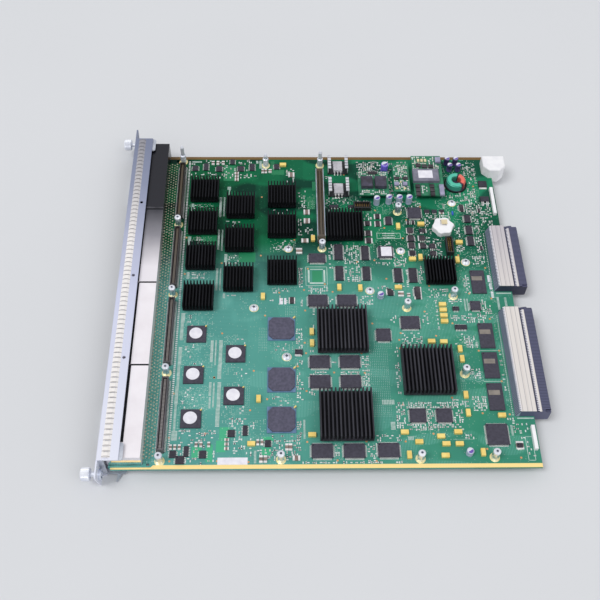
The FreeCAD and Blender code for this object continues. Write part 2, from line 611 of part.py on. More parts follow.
def cooled_chips():
    chips = [block(x, y, 0, PHY_SIZE, PHY_SIZE, SMALL_SEAT) for x, y in SMALL_SINK_PLACES]
    for x, y in WIDE_SINK_PLACES:
        chips.append(block(x, y, 0, WIDE_CHIP_SIZE, WIDE_CHIP_SIZE, SMALL_SEAT))
    for x, y in LARGE_SINK_PLACES:
        chips.append(block(x, y, 0, LARGE_CHIP_SIZE, LARGE_CHIP_SIZE, LARGE_SEAT))
    return chips


def standoff(x, y):
    ring = []
    for i in range(6):
        angle = math.radians(30 + 60 * i)
        radius = POST_FLATS / 2 / math.cos(math.radians(30))
        ring.append((x + radius * math.cos(angle), y + radius * math.sin(angle)))
    return plan_profile(ring, 0, POST_HEIGHT)


def standoff_screw(x, y):
    top = POST_HEIGHT + HEAD_HEIGHT
    return turned_up(x, y, [(0, POST_HEIGHT), (HEAD_RADIUS, POST_HEIGHT), (HEAD_RADIUS, top - 0.7),
                            (HEAD_RADIUS - 0.8, top), (1.2, top), (1.2, top - 1.3), (0, top - 1.3)])


def guide_post(x, y, top):
    return turned_up(x, y, [(0, 0), (2.9, 0), (2.9, POST_HEIGHT), (1.9, POST_HEIGHT + 0.8),
                            (1.9, top - 2.2), (0.7, top), (0, top)])


def board_screw(x, y):
    return turned_up(x, y, [(0, 0), (3.9, 0), (3.9, 0.7), (3.1, 0.7), (3.1, 1.6), (2.0, 2.5), (1.2, 2.5),
                            (1.2, 1.6), (0, 1.6)])


def tantalum(x, y, along_x):
    length, width, height = TANTALUM_SIZE
    body = block(x, y, 0, length if along_x else width, width if along_x else length, height)
    return body


def can(x, y, radius, height):
    return turned_up(x, y, [(0, 0), (radius, 0), (radius, 1.4), (radius - 0.35, 1.9), (radius, 2.4),
                            (radius, height - 0.4), (radius - 0.4, height), (0, height)])


def mezzanine_channel(centre):
    half = MEZZANINE_WIDTH / 2
    rise = MEZZANINE_HEIGHT
    wall = MEZZANINE_WALL
    floor = MEZZANINE_FLOOR
    x0, x1 = MEZZANINE_X - half, MEZZANINE_X + half
    section = [(x0, 0), (x1, 0), (x1, rise), (x1 - wall, rise), (x1 - wall, floor), (x0 + wall, floor),
               (x0 + wall, rise), (x0, rise)]
    start = centre - MEZZANINE_LENGTH / 2
    channel = side_profile(section, start, MEZZANINE_LENGTH)
    caps = [span((x0, x1), (y, y + 1.5), (0, rise))
            for y in (start, start + MEZZANINE_LENGTH - 1.5)]
    return channel.fuse(caps).removeSplitter()


def mezzanine_blade(centre):
    length = MEZZANINE_LENGTH - 4
    return span((MEZZANINE_X - 1.1, MEZZANINE_X + 1.1), (centre - length / 2, centre + length / 2),
                (MEZZANINE_FLOOR, MEZZANINE_HEIGHT - 1.2))


def stacking_connector():
    x0, x1 = STACK_X
    y0, y1 = STACK_Y
    body = span((x0 + 0.6, x1 - 0.6), (y0, y1), (0, STACK_HEIGHT - 0.8))
    grooves = [span((x, x + 0.8), (y0 + 3, y1 - 3), (STACK_HEIGHT - 3.8, STACK_HEIGHT))
               for x in (x0 + 2.0, x1 - 2.8)]
    return [body.cut(grooves)]


def stacking_shields():
    x0, x1 = STACK_X
    y0, y1 = STACK_Y
    return [span(r, (y0 + 1, y1 - 1), (0, STACK_HEIGHT)) for r in ((x0, x0 + 0.6), (x1 - 0.6, x1))]


def converter_pins():
    pins = []
    for x, y, width, depth in CONVERTERS:
        inset = CONVERTER_PIN_INSET
        for dx in (-width / 2 + inset, width / 2 - inset):
            for i in range(4):
                dy = (i - 1.5) * (depth - 5) / 3
                pins.append(block(x + dx, y + dy, 0, CONVERTER_PIN, CONVERTER_PIN, CONVERTER_HEIGHT))
    return pins


def core(x, y, width, depth, height):
    low = CONVERTER_HEIGHT + CONVERTER_SHEET
    return chamfered_top(block(x, y, low, width, depth, height), 0.8)


def toroid_core():
    x, y = TOROID
    w = WINDING
    r0, r1, h = TOROID_HOLE + w, TOROID_RADIUS - w, TOROID_HEIGHT - w
    core = turned_up(x, y, [(r0, w), (r1, w), (r1, h), (r0, h)])
    cup = turned_up(x, y, [(0, 0), (TOROID_RADIUS + 0.6, 0), (TOROID_RADIUS + 0.6, w), (0, w)])
    return [core, cup]


def toroid_winding(start, sweep):
    x, y = TOROID
    w = WINDING
    r0, r1, h = TOROID_HOLE, TOROID_RADIUS, TOROID_HEIGHT
    ring = [(r0, w), (r0 + w, w), (r0 + w, h - w), (r1 - w, h - w), (r1 - w, w), (r1, w), (r1, h - 1.2),
            (r1 - 1.2, h), (r0 + 0.8, h), (r0, h - 0.8)]
    face = Part.Face(Part.makePolygon([V(x + r, y, z) for r, z in ring + ring[:1]]))
    wound = face.revolve(V(x, y, 0), V(0, 0, 1), sweep)
    wound.rotate(V(x, y, 0), V(0, 0, 1), start)
    return wound


def comb_heatsink(x, y):
    half = COMB_WIDTH / 2
    foot = COMB_FOOT
    s = COMB_SHEET
    section = [(x - half, 0), (x + half, 0), (x + half, COMB_HEIGHT), (x + half - foot, COMB_HEIGHT),
               (x + half - foot, COMB_HEIGHT - s), (x + half - s, COMB_HEIGHT - s), (x + half - s, s),
               (x - half + s, s), (x - half + s, COMB_HEIGHT - s), (x - half + foot, COMB_HEIGHT - s),
               (x - half + foot, COMB_HEIGHT), (x - half, COMB_HEIGHT)]
    body = side_profile(section, y - COMB_DEPTH / 2, COMB_DEPTH)
    gaps = []
    pitch = COMB_DEPTH / COMB_RIBS
    for i in range(1, COMB_RIBS):
        gap_y = y - COMB_DEPTH / 2 + i * pitch
        gaps.append(block(x, gap_y, 3.0, COMB_WIDTH + 2, 1.0, COMB_HEIGHT))
    return body.cut(gaps)


def regulator(x, y):
    s = COMB_SHEET
    body = chamfered_top(block(x, y - 2.2, s, REGULATOR_WIDTH, 8.8, 3.6), 0.5)
    tab = block(x, y + 5.0, s, REGULATOR_WIDTH, 5.6, 1.2)
    return [body.fuse(tab).removeSplitter()]


def backplane_housing(y_range):
    y0, y1 = y_range
    edge = BOARD_LENGTH + EDGE_CLEARANCE
    rail = BACKPLANE_REAR - SLOT_DEPTH
    top = BACKPLANE_TOP
    section = [(BACKPLANE_FRONT, 0), (edge, 0), (edge, BACKPLANE_BOTTOM),
               (BACKPLANE_REAR - 1, BACKPLANE_BOTTOM), (BACKPLANE_REAR, BACKPLANE_BOTTOM + 1),
               (BACKPLANE_REAR, top - 0.6), (BACKPLANE_REAR - 0.6, top), (rail, top),
               (rail, top - RAIL_DROP), (rail - RAIL_WIDTH, top - RAIL_DROP),
               (rail - RAIL_WIDTH, top - BACKPLANE_STEP), (edge, top - BACKPLANE_STEP), (edge, top),
               (SHIELD_FRONT, top), (BACKPLANE_FRONT + 0.6, 2.0)]
    body = side_profile(section, y0, y1 - y0)
    slot = span((BACKPLANE_REAR - SLOT_DEPTH, BACKPLANE_REAR + 1), (y0 + SLOT_END, y1 - SLOT_END),
                (SLOT_LOW, SLOT_HIGH))
    keys = [span((BACKPLANE_REAR - 5, BACKPLANE_REAR + 1), (y, y + 3),
                 (BACKPLANE_TOP - 1.6, BACKPLANE_TOP + 1)) for y in (y0 - 1, y1 - 2)]
    return body.cut([slot] + keys)


def backplane_shields(y_range):
    y0, y1 = y_range
    top = BACKPLANE_TOP
    plate = span((SHIELD_FRONT, BOARD_LENGTH + EDGE_CLEARANCE), (y0, y1), (top, top + BACKPLANE_PLATE))
    groove_start = SHIELD_FRONT + 6.3
    groove = span((groove_start, groove_start + SHIELD_GROOVE), (y0 - 1, y1 + 1),
                  (top + BACKPLANE_PLATE / 2, top + 2))
    rail_rear = BACKPLANE_REAR - SLOT_DEPTH
    rail = span((rail_rear - RAIL_WIDTH, rail_rear), (y0, y1 - 3), (top - RAIL_DROP, top + RAIL_RISE))
    return [plate.cut(groove), rail]


def guide_block():
    x0, x1 = GUIDE_X
    y0, y1 = GUIDE_Y
    cut = GUIDE_CUT
    outline = [(x0 + cut, y0), (x1 - cut, y0), (x1, y0 + cut), (x1, y1), (x0, y1), (x0, y0 + cut)]
    upper = plan_profile(outline, 0, GUIDE_TOP)
    lower = plan_profile(outline, BACKPLANE_BOTTOM, -BACKPLANE_BOTTOM)
    lower = lower.common(span((BOARD_LENGTH + EDGE_CLEARANCE, x1), (y0, y1), (BACKPLANE_BOTTOM, 0)))
    body = chamfered_top(upper.fuse(lower).removeSplitter(), 0.8)
    y, z, radius = GUIDE_BORE
    bore = Part.makeCylinder(radius, GUIDE_BORE_DEPTH + 1, V(x1 - GUIDE_BORE_DEPTH, y, z), V(1, 0, 0))
    return [body.cut(bore)]


def round_holder():
    x, y = HOLDER
    ring = []
    for i in range(24):
        radius = HOLDER_RADIUS if i % 4 < 2 else HOLDER_RADIUS - 1.2
        angle = math.radians(15 * i)
        ring.append((x + radius * math.cos(angle), y + radius * math.sin(angle)))
    body = plan_profile(ring, 0, HOLDER_HEIGHT)
    pocket = block(x + 0.6, y + 3.0, HOLDER_HEIGHT - 1.6, 6.4, 8.0, 3)
    return [chamfered_top(body, 0.5).cut(pocket)]


def pin_header(x, y, width, depth, height):
    body = block(x, y, 0, width, depth, height)
    return body.cut(block(x, y, 1.4, width - 2 * HEADER_WALL, depth - 2 * HEADER_WALL, height))


def rear_bumper(y0, y1):
    return span(BUMPER_X, (y0, y1), (0, BUMPER_HEIGHT))


def both_sides(maker):
    return [at_panel(maker(), -1), at_panel(maker(), 1)]


def main():
    os.makedirs("parts", exist_ok=True)
    save("circuit_board", circuit_board())
    save("ground_strips", ground_strips())
    save("faceplate", faceplate())
    save("emi_gasket", emi_gasket())
    for number, centre in enumerate(block_centres(), 1):
        save("port_housing_%d" % number, port_housing(centre))
        save("port_shield_%d" % number, port_shield(centre))
    save("ejector_brackets", both_sides(ejector_bracket))
    save("ejector_pins", both_sides(ejector_pin))
    save("screw_bushings", both_sides(screw_bushing))
    for name, maker in (("ejector_lever", ejector_lever), ("captive_screw", captive_screw),
                        ("retaining_ring", retaining_ring)):
        for place, shape in zip(("near", "far"), both_sides(maker)):
            save(name + "_" + place, [shape])

    mezzanine_centres = [(i - 1.5) * MEZZANINE_PITCH for i in range(MEZZANINE_COUNT)]
    save("mezzanine_housings", [mezzanine_channel(y) for y in mezzanine_centres])
    save("mezzanine_blades", [mezzanine_blade(y) for y in mezzanine_centres])
    save("stacking_connector", stacking_connector())
    save("stacking_shields", stacking_shields())
    posts = [(MEZZANINE_X, (i - 2) * MEZZANINE_PITCH) for i in range(MEZZANINE_COUNT)] + POST_PLACES
    save("standoffs", [standoff(x, y) for x, y in posts])
    save("standoff_screws", [standoff_screw(x, y) for x, y in posts])
    save("guide_posts", [guide_post(x, y, top) for x, y, top in GUIDE_POST_PLACES])
    save("board_screws", [board_screw(x, y) for x, y in SCREW_PLACES])

    save("small_heatsinks", [finned(SMALL_SINK, SMALL_SINK_FINS, x, y, SMALL_SEAT, SMALL_SINK_TOP)
                             for x, y in SMALL_SINK_PLACES])
    save("wide_heatsink", [finned(WIDE_SINK, WIDE_SINK_FINS, x, y, SMALL_SEAT, SMALL_SINK_TOP)
                           for x, y in WIDE_SINK_PLACES])
    save("large_heatsinks", [finned(LARGE_SINK, LARGE_SINK_FINS, x, y, LARGE_SEAT, LARGE_SINK_TOP)
                             for x, y in LARGE_SINK_PLACES])
    save("cooled_chips", cooled_chips())
    save("port_chips", [chamfered_top(block(x, y, 0, PHY_SIZE, PHY_SIZE, 1.8), 0.3)
                        for x, y in PHY_PLACES])
    save("switch_substrates", [block(x, y, 0, SWITCH_SIZE, SWITCH_SIZE, 0.8)
                               for x, y in SWITCH_PLACES])
    save("switch_chips", [chamfered_top(octagon(x, y, SWITCH_SIZE - 2 * SWITCH_RIM, 4.0, 0.8, 1.3), 0.3)
                          for x, y in SWITCH_PLACES])
    chips = [block(x, y, 0, MEMORY_SIZE[0], MEMORY_SIZE[1], PACK_HEIGHT) for x, y in MEMORY_PLACES]
    chips += [block(x, y, 0, REAR_MEMORY_SIZE[0], REAR_MEMORY_SIZE[1], REAR_MEMORY_HEIGHT)
              for x, y in REAR_MEMORY_PLACES]
    save("memory_chips", chips)
    save("flat_pack_chips", [block(x, y, 0, w, d, PACK_HEIGHT) for x, y, w, d in FLAT_PACKS])
    save("outline_chips", [block(x, y, 0, w, d, OUTLINE_HEIGHT) for x, y, w, d in OUTLINE_CHIPS])
    save("tantalum_capacitors", [tantalum(x, y, True) for x, y in TANTALUM_ALONG_X]
         + [tantalum(x, y, False) for x, y in TANTALUM_ALONG_Y])
    save("can_capacitors", [can(*values) for values in CANS])
    save("dark_capacitors", [can(*values) for values in DARK_CANS])

    save("converter_boards", [block(x, y, CONVERTER_HEIGHT, w, d, CONVERTER_SHEET)
                              for x, y, w, d in CONVERTERS])
    save("converter_pins", converter_pins())
    save("converter_inductors", [core(x, y, w, d, INDUCTOR_HEIGHT) for x, y, w, d in INDUCTORS])
    save("transformer", [core(*TRANSFORMER, TRANSFORMER_HEIGHT)])
    save("toroid_core", toroid_core())
    save("toroid_winding_green", [toroid_winding(75, 225)])
    save("toroid_winding_red", [toroid_winding(-40, 100)])
    save("regulator_heatsinks", [comb_heatsink(x, y) for x, y in REGULATORS])
    save("regulators", [s for x, y in REGULATORS for s in regulator(x, y)])

    save("backplane_housings", [backplane_housing(r) for r in BACKPLANE_RANGES])
    save("backplane_shields", [s for r in BACKPLANE_RANGES for s in backplane_shields(r)])
    save("guide_block", guide_block())
    save("round_holder", round_holder())
    save("pin_headers", [pin_header(*values) for values in HEADERS])
    save("rear_bumpers", [rear_bumper(*r) for r in BUMPERS])


main()
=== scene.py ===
"""Looks of a switch line card: finishes, the small parts on its board, camera and light.

Blender works in metres. Places on the board are in millimetres: x from its front edge, y from
its middle line, z from its top face. A spot is a rectangle there, as x0, y0, x1, y1, and a box
is a spot with its z0 and z1 after it. Colours of three numbers are display colours, with channels
up to 255, and those of four are linear.
"""

import math
import random

import bpy
from mathutils import Matrix, Vector


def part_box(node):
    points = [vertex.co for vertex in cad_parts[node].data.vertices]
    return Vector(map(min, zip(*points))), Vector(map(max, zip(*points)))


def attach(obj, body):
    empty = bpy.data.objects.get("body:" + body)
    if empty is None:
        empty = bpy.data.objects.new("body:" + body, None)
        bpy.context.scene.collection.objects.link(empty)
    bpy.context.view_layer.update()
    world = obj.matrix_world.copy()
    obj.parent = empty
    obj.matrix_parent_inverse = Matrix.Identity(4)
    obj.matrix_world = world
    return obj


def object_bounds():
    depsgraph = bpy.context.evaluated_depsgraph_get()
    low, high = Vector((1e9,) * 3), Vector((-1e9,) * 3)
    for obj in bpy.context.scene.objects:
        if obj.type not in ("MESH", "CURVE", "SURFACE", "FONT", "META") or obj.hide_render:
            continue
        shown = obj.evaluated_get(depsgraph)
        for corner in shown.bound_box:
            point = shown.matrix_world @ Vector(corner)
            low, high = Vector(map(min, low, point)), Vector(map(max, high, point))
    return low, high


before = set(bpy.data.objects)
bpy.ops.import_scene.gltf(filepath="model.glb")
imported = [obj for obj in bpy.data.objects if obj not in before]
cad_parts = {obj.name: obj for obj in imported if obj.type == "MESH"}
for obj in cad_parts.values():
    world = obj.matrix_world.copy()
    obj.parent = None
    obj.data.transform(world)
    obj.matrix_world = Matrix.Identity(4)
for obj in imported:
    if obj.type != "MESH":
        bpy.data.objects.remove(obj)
cad_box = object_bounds()

MM = 0.001
BOARD_LOW, BOARD_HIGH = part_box("circuit_board")
ORIGIN = Vector((BOARD_LOW.x, (BOARD_LOW.y + BOARD_HIGH.y) / 2, BOARD_HIGH.z))


def place(x, y, z=0.0):
    """Board millimetres to the part's frame in metres."""
    return ORIGIN + Vector((x, y, z)) * MM


def board_mm(point):
    """The part's frame in metres to board millimetres."""
    return (point - ORIGIN) / MM


# Finishes.

def linear(colour):
    """A colour as the linear one that a shader takes."""
    if len(colour) == 4:
        return colour
    return (*(((c / 255 + 0.055) / 1.055) ** 2.4 if c > 10 else c / 3295 for c in colour), 1.0)


def grey(value):
    """A linear grey."""
    return (value, value, value, 1.0)


BLACK, WHITE = grey(0.0), grey(1.0)


def put(tree, value, socket):
    """Sets a socket to a value, or links an output to it."""
    if isinstance(value, bpy.types.NodeSocket):
        tree.links.new(value, socket)
    else:
        socket.default_value = linear(value) if socket.type == "RGBA" else value


def node(tree, kind, **values):
    """A new node, with values or outputs for its sockets, named with _ for a space."""
    made = tree.nodes.new(kind)
    for name, value in values.items():
        put(tree, value, made.inputs[name.replace("_", " ")])
    return made


def maths(tree, operation, *values, kind="ShaderNodeMath", output="Value"):
    """The result of an operation on values or outputs."""
    made = tree.nodes.new(kind)
    made.operation = operation
    for value, socket in zip(values, made.inputs):
        put(tree, value, socket)
    return made.outputs[output]


def main_input(tree, name):
    """A socket of the main shader of a material's tree."""
    return tree.nodes["Principled BSDF"].inputs[name]


def shader(roughness, metallic, gloss=0.5):
    """A new material and its node tree."""
    made = bpy.data.materials.new("finish")
    made.use_nodes = True
    tree = made.node_tree
    put(tree, roughness, main_input(tree, "Roughness"))
    put(tree, metallic, main_input(tree, "Metallic"))
    put(tree, gloss, main_input(tree, "Specular IOR Level"))
    return made, tree


def object_place(tree):
    """The object-space place, which is also the part's own frame."""
    return tree.nodes.new("ShaderNodeTexCoord").outputs["Object"]


def noise(tree, scale, detail=3.0, stretch=(1, 1, 1)):
    """A noise value over the part's frame, drawn out along some axes."""
    mapped = node(tree, "ShaderNodeMapping", Vector=object_place(tree), Scale=stretch)
    made = node(tree, "ShaderNodeTexNoise", Vector=mapped.outputs[0], Scale=scale, Detail=detail)
    return made.outputs["Fac"]


def ramp(tree, value, *stops):
    """A colour for a value, from (place, colour) stops."""
    made = node(tree, "ShaderNodeValToRGB", Fac=value)
    bar = made.color_ramp
    while len(bar.elements) < len(stops):
        bar.elements.new(0.5)
    for element, (position, colour) in zip(bar.elements, stops):
        element.position, element.color = position, linear(colour)
    return made.outputs["Color"]


def blend_colours(tree, share, first, second, blend="MIX"):
    """Two colours, or colour outputs, blended by a share."""
    made = tree.nodes.new("ShaderNodeMix")
    made.data_type, made.blend_type = "RGBA", blend
    put(tree, share, made.inputs["Factor"])
    for socket, colour in zip([s for s in made.inputs if s.type == "RGBA"], (first, second)):
        put(tree, colour, socket)
    return next(s for s in made.outputs if s.type == "RGBA")


def part_of(tree, vector, axis):
    """One axis of a vector output."""
    return node(tree, "ShaderNodeSeparateXYZ", Vector=vector).outputs[axis]


def along(tree, axis, start, end):
    """A value that runs from 0 at start to 1 at end, in metres along one axis of the part."""
    reached = part_of(tree, object_place(tree), axis)
    made = node(tree, "ShaderNodeMapRange", Value=reached, From_Min=start, From_Max=end)
    return made.outputs["Result"]


def stripes(tree, axis, pitch):
    """A value that rises and falls once in each pitch, in millimetres along one axis."""
    scale = math.pi / 10 / (pitch * MM)
    made = node(tree, "ShaderNodeTexWave", Vector=object_place(tree), Scale=scale)
    made.bands_direction = axis
    return made.outputs["Fac"]


def coated(made, colour, height, depth):
    """The material with a base colour, and with relief by a value, over a depth in millimetres."""
    tree = made.node_tree
    bump = node(tree, "ShaderNodeBump", Height=height, Strength=1.0, Distance=depth * MM)
    put(tree, colour, main_input(tree, "Base Color"))
    put(tree, bump.outputs["Normal"], main_input(tree, "Normal"))
    return made


def finish(dark, light, roughness=0.5, metallic=0.0, grain=900, depth=0.02, stretch=(1, 1, 1),
           gloss=0.5):
    """A plain finish that drifts between two close colours, with a fine grain."""
    made, tree = shader(roughness, metallic, gloss)
    colour = ramp(tree, noise(tree, grain / 6, 4.0, stretch), (0.35, dark), (0.65, light))
    return coated(made, colour, noise(tree, grain, 2.0, stretch), depth)


def ribbed(dark, light, axis, pitch, roughness=0.4, metallic=0.1, depth=0.1, edges=(0.2, 0.7)):
    """Fine ribs across one axis; edges are where their dark ends and their light starts."""
    made, tree = shader(roughness, metallic)
    ribs = stripes(tree, axis, pitch)
    return coated(made, ramp(tree, ribs, (edges[0], dark), (edges[1], light)), ribs, depth)


def near_far_painted_light(start, end, stops, roughness=0.5, metallic=0.0, grain=700):
    """A finish whose colour changes from the near side to the far side, broken up by noise:
    painted reflection and shade.
    """
    made, tree = shader(roughness, metallic)
    run = maths(tree, "MULTIPLY_ADD", noise(tree, grain / 10), 0.08, along(tree, "Y", start, end))
    return coated(made, ramp(tree, run, *stops), noise(tree, grain, 2.0), 0.02)


def recoloured(made, change):
    """The material, with its base colour passed through change(tree, colour)."""
    tree = made.node_tree
    base = main_input(tree, "Base Color")
    put(tree, change(tree, base.links[0].from_socket), base)
    return made


def far_painted_shade(made, start, end, darkest):
    """The material, multiplied by a darker tone toward the far side, as painted shade."""
    def darkened(tree, colour):
        run = ramp(tree, along(tree, "Y", start, end), (0.0, WHITE), (1.0, darkest))
        return blend_colours(tree, 1.0, colour, run, "MULTIPLY")
    return recoloured(made, darkened)


def tin_finish():
    """Bright tin of the port shields, a mirror on the faces that look to the near side."""
    made, tree = shader(0.25, 0.25)
    colour = ramp(tree, noise(tree, 66, 4.0), (0.35, (244, 238, 243)), (0.65, (252, 247, 252)))
    facing = part_of(tree, tree.nodes.new("ShaderNodeNewGeometry").outputs["Normal"], "Y")
    near = node(tree, "ShaderNodeMapRange", Value=facing, From_Min=-0.4, From_Max=-0.9).outputs[0]
    for name, elsewhere, on_side in (("Metallic", 0.25, 0.95), ("Roughness", 0.25, 0.08)):
        mapped = node(tree, "ShaderNodeMapRange", Value=near, To_Min=elsewhere, To_Max=on_side)
        put(tree, mapped.outputs[0], main_input(tree, name))
    return coated(made, colour, noise(tree, 400, 2.0), 0.01)


def comb_finish():
    """Bright bent sheet, with painted shade darkening its foot."""
    def shaded(tree, colour):
        # Painted shade: near black at the foot, fading out by 6 mm up.
        rise = along(tree, "Z", place(0, 0, 1.5).z, place(0, 0, 6).z)
        return blend_colours(tree, rise, (34, 38, 42), colour)
    return recoloured(finish((196, 198, 206), (232, 232, 238), 0.32, 0.3), shaded)


# Where the sloped front of the rear connectors ends, and the pitch of their ribs.
HOUSING_SLOPE_END, HOUSING_RIB = 347, 1.5


def housing_finish():
    """Blue moulding of the backplane connectors, with light contact tails along its front."""
    def with_tails(tree, colour):
        ribs = stripes(tree, "Y", HOUSING_RIB)
        tails = ramp(tree, ribs, (0.4, (56, 60, 86)), (0.8, (156, 166, 186)))
        end = place(HOUSING_SLOPE_END, 0).x
        return blend_colours(tree, along(tree, "X", end - 0.2 * MM, end), tails, colour)
    moulding = ribbed((46, 48, 72), (88, 90, 120), "Y", HOUSING_RIB, 0.5, 0.0, 0.12, (0.1, 0.7))
    return recoloured(moulding, with_tails)


def trace_bundles(tree, axis, pitch, scale, stretch):
    """A value on the traces of scattered bundles, which run beside each other at a pitch."""
    lines = ramp(tree, stripes(tree, axis, pitch), (0.4, BLACK), (0.7, grey(0.45)))
    bundles = ramp(tree, noise(tree, scale, 1.0, stretch), (0.5, BLACK), (0.54, WHITE))
    return maths(tree, "MULTIPLY", lines, bundles)


def board_finish():
    """Green solder mask with traces and vias, with painted sheen that makes it pale near the
    viewer and painted shade that makes it deep at the far front.
    """
    made, tree = shader(0.42, 0.0, 0.12)

    def blend(share, first, second):
        return blend_colours(tree, share, first, second)

    cloud = noise(tree, 30, 2.0)
    patches = ramp(tree, noise(tree, 26, 0.0, (1, 1.6, 1)), (0.46, BLACK), (0.54, WHITE))
    # Painted light: from front to rear (back) and from near to far (depth), a painted sheen pales
    # the near side and painted shade deepens the far front.
    back = ramp(tree, along(tree, "X", -0.12, 0.17), (0.1, BLACK), (0.9, WHITE))
    depth = ramp(tree, along(tree, "Y", 0.0, 0.06), (0.05, BLACK), (0.95, WHITE))
    near = blend(back, blend(cloud, (82, 150, 142), (100, 172, 163)),
                 blend(cloud, (42, 128, 100), (68, 148, 122)))
    far = blend(back, blend(patches, (2, 46, 34), (8, 92, 56)),
                blend(patches, (16, 88, 66), (34, 132, 96)))
    # The traces take the same painted sheen and shade.
    light_trace = blend(depth, (126, 192, 180), (26, 132, 88))
    dark_trace = blend(depth, (70, 134, 126), (2, 62, 44))
    lengthwise = trace_bundles(tree, "Y", 1.5, 20, (2.5, 1, 1))
    crosswise = trace_bundles(tree, "X", 1.3, 22, (1, 2.5, 1))
    traced = blend(lengthwise, blend(crosswise, blend(depth, near, far), light_trace), dark_trace)
    cells = node(tree, "ShaderNodeTexVoronoi", Vector=object_place(tree), Scale=320.0)
    dots = ramp(tree, cells.outputs["Distance"], (0.10, grey(0.5)), (0.16, BLACK))
    # The vias' specks take the same painted sheen and shade.
    specks = blend(depth, (166, 196, 178), (76, 150, 112))
    return coated(made, blend(dots, traced, specks), crosswise, 0.03)


# The axis of the violet can, and how far round it the violet fades out, in metres.
VIOLET_CAN = (248.8, 153.5)
VIOLET_REACH = (0.004, 0.006)


def can_finish():
    """Pale blue sleeves, and one violet sleeve on the converter."""
    made, tree = shader(0.3, 0.2)
    axis = place(*VIOLET_CAN)
    flat = maths(tree, "MULTIPLY", object_place(tree), (1, 1, 0), kind="ShaderNodeVectorMath",
                 output="Vector")
    away = maths(tree, "DISTANCE", flat, (axis.x, axis.y, 0), kind="ShaderNodeVectorMath")
    outside = ramp(tree, away, *zip(VIOLET_REACH, (BLACK, WHITE)))
    cloud = noise(tree, 300)
    violet = blend_colours(tree, cloud, (96, 84, 214), (150, 128, 244))
    pale = blend_colours(tree, cloud, (150, 164, 196), (206, 212, 232))
    colour = blend_colours(tree, outside, violet, pale)
    return coated(made, colour, noise(tree, 900, 2.0), 0.01)


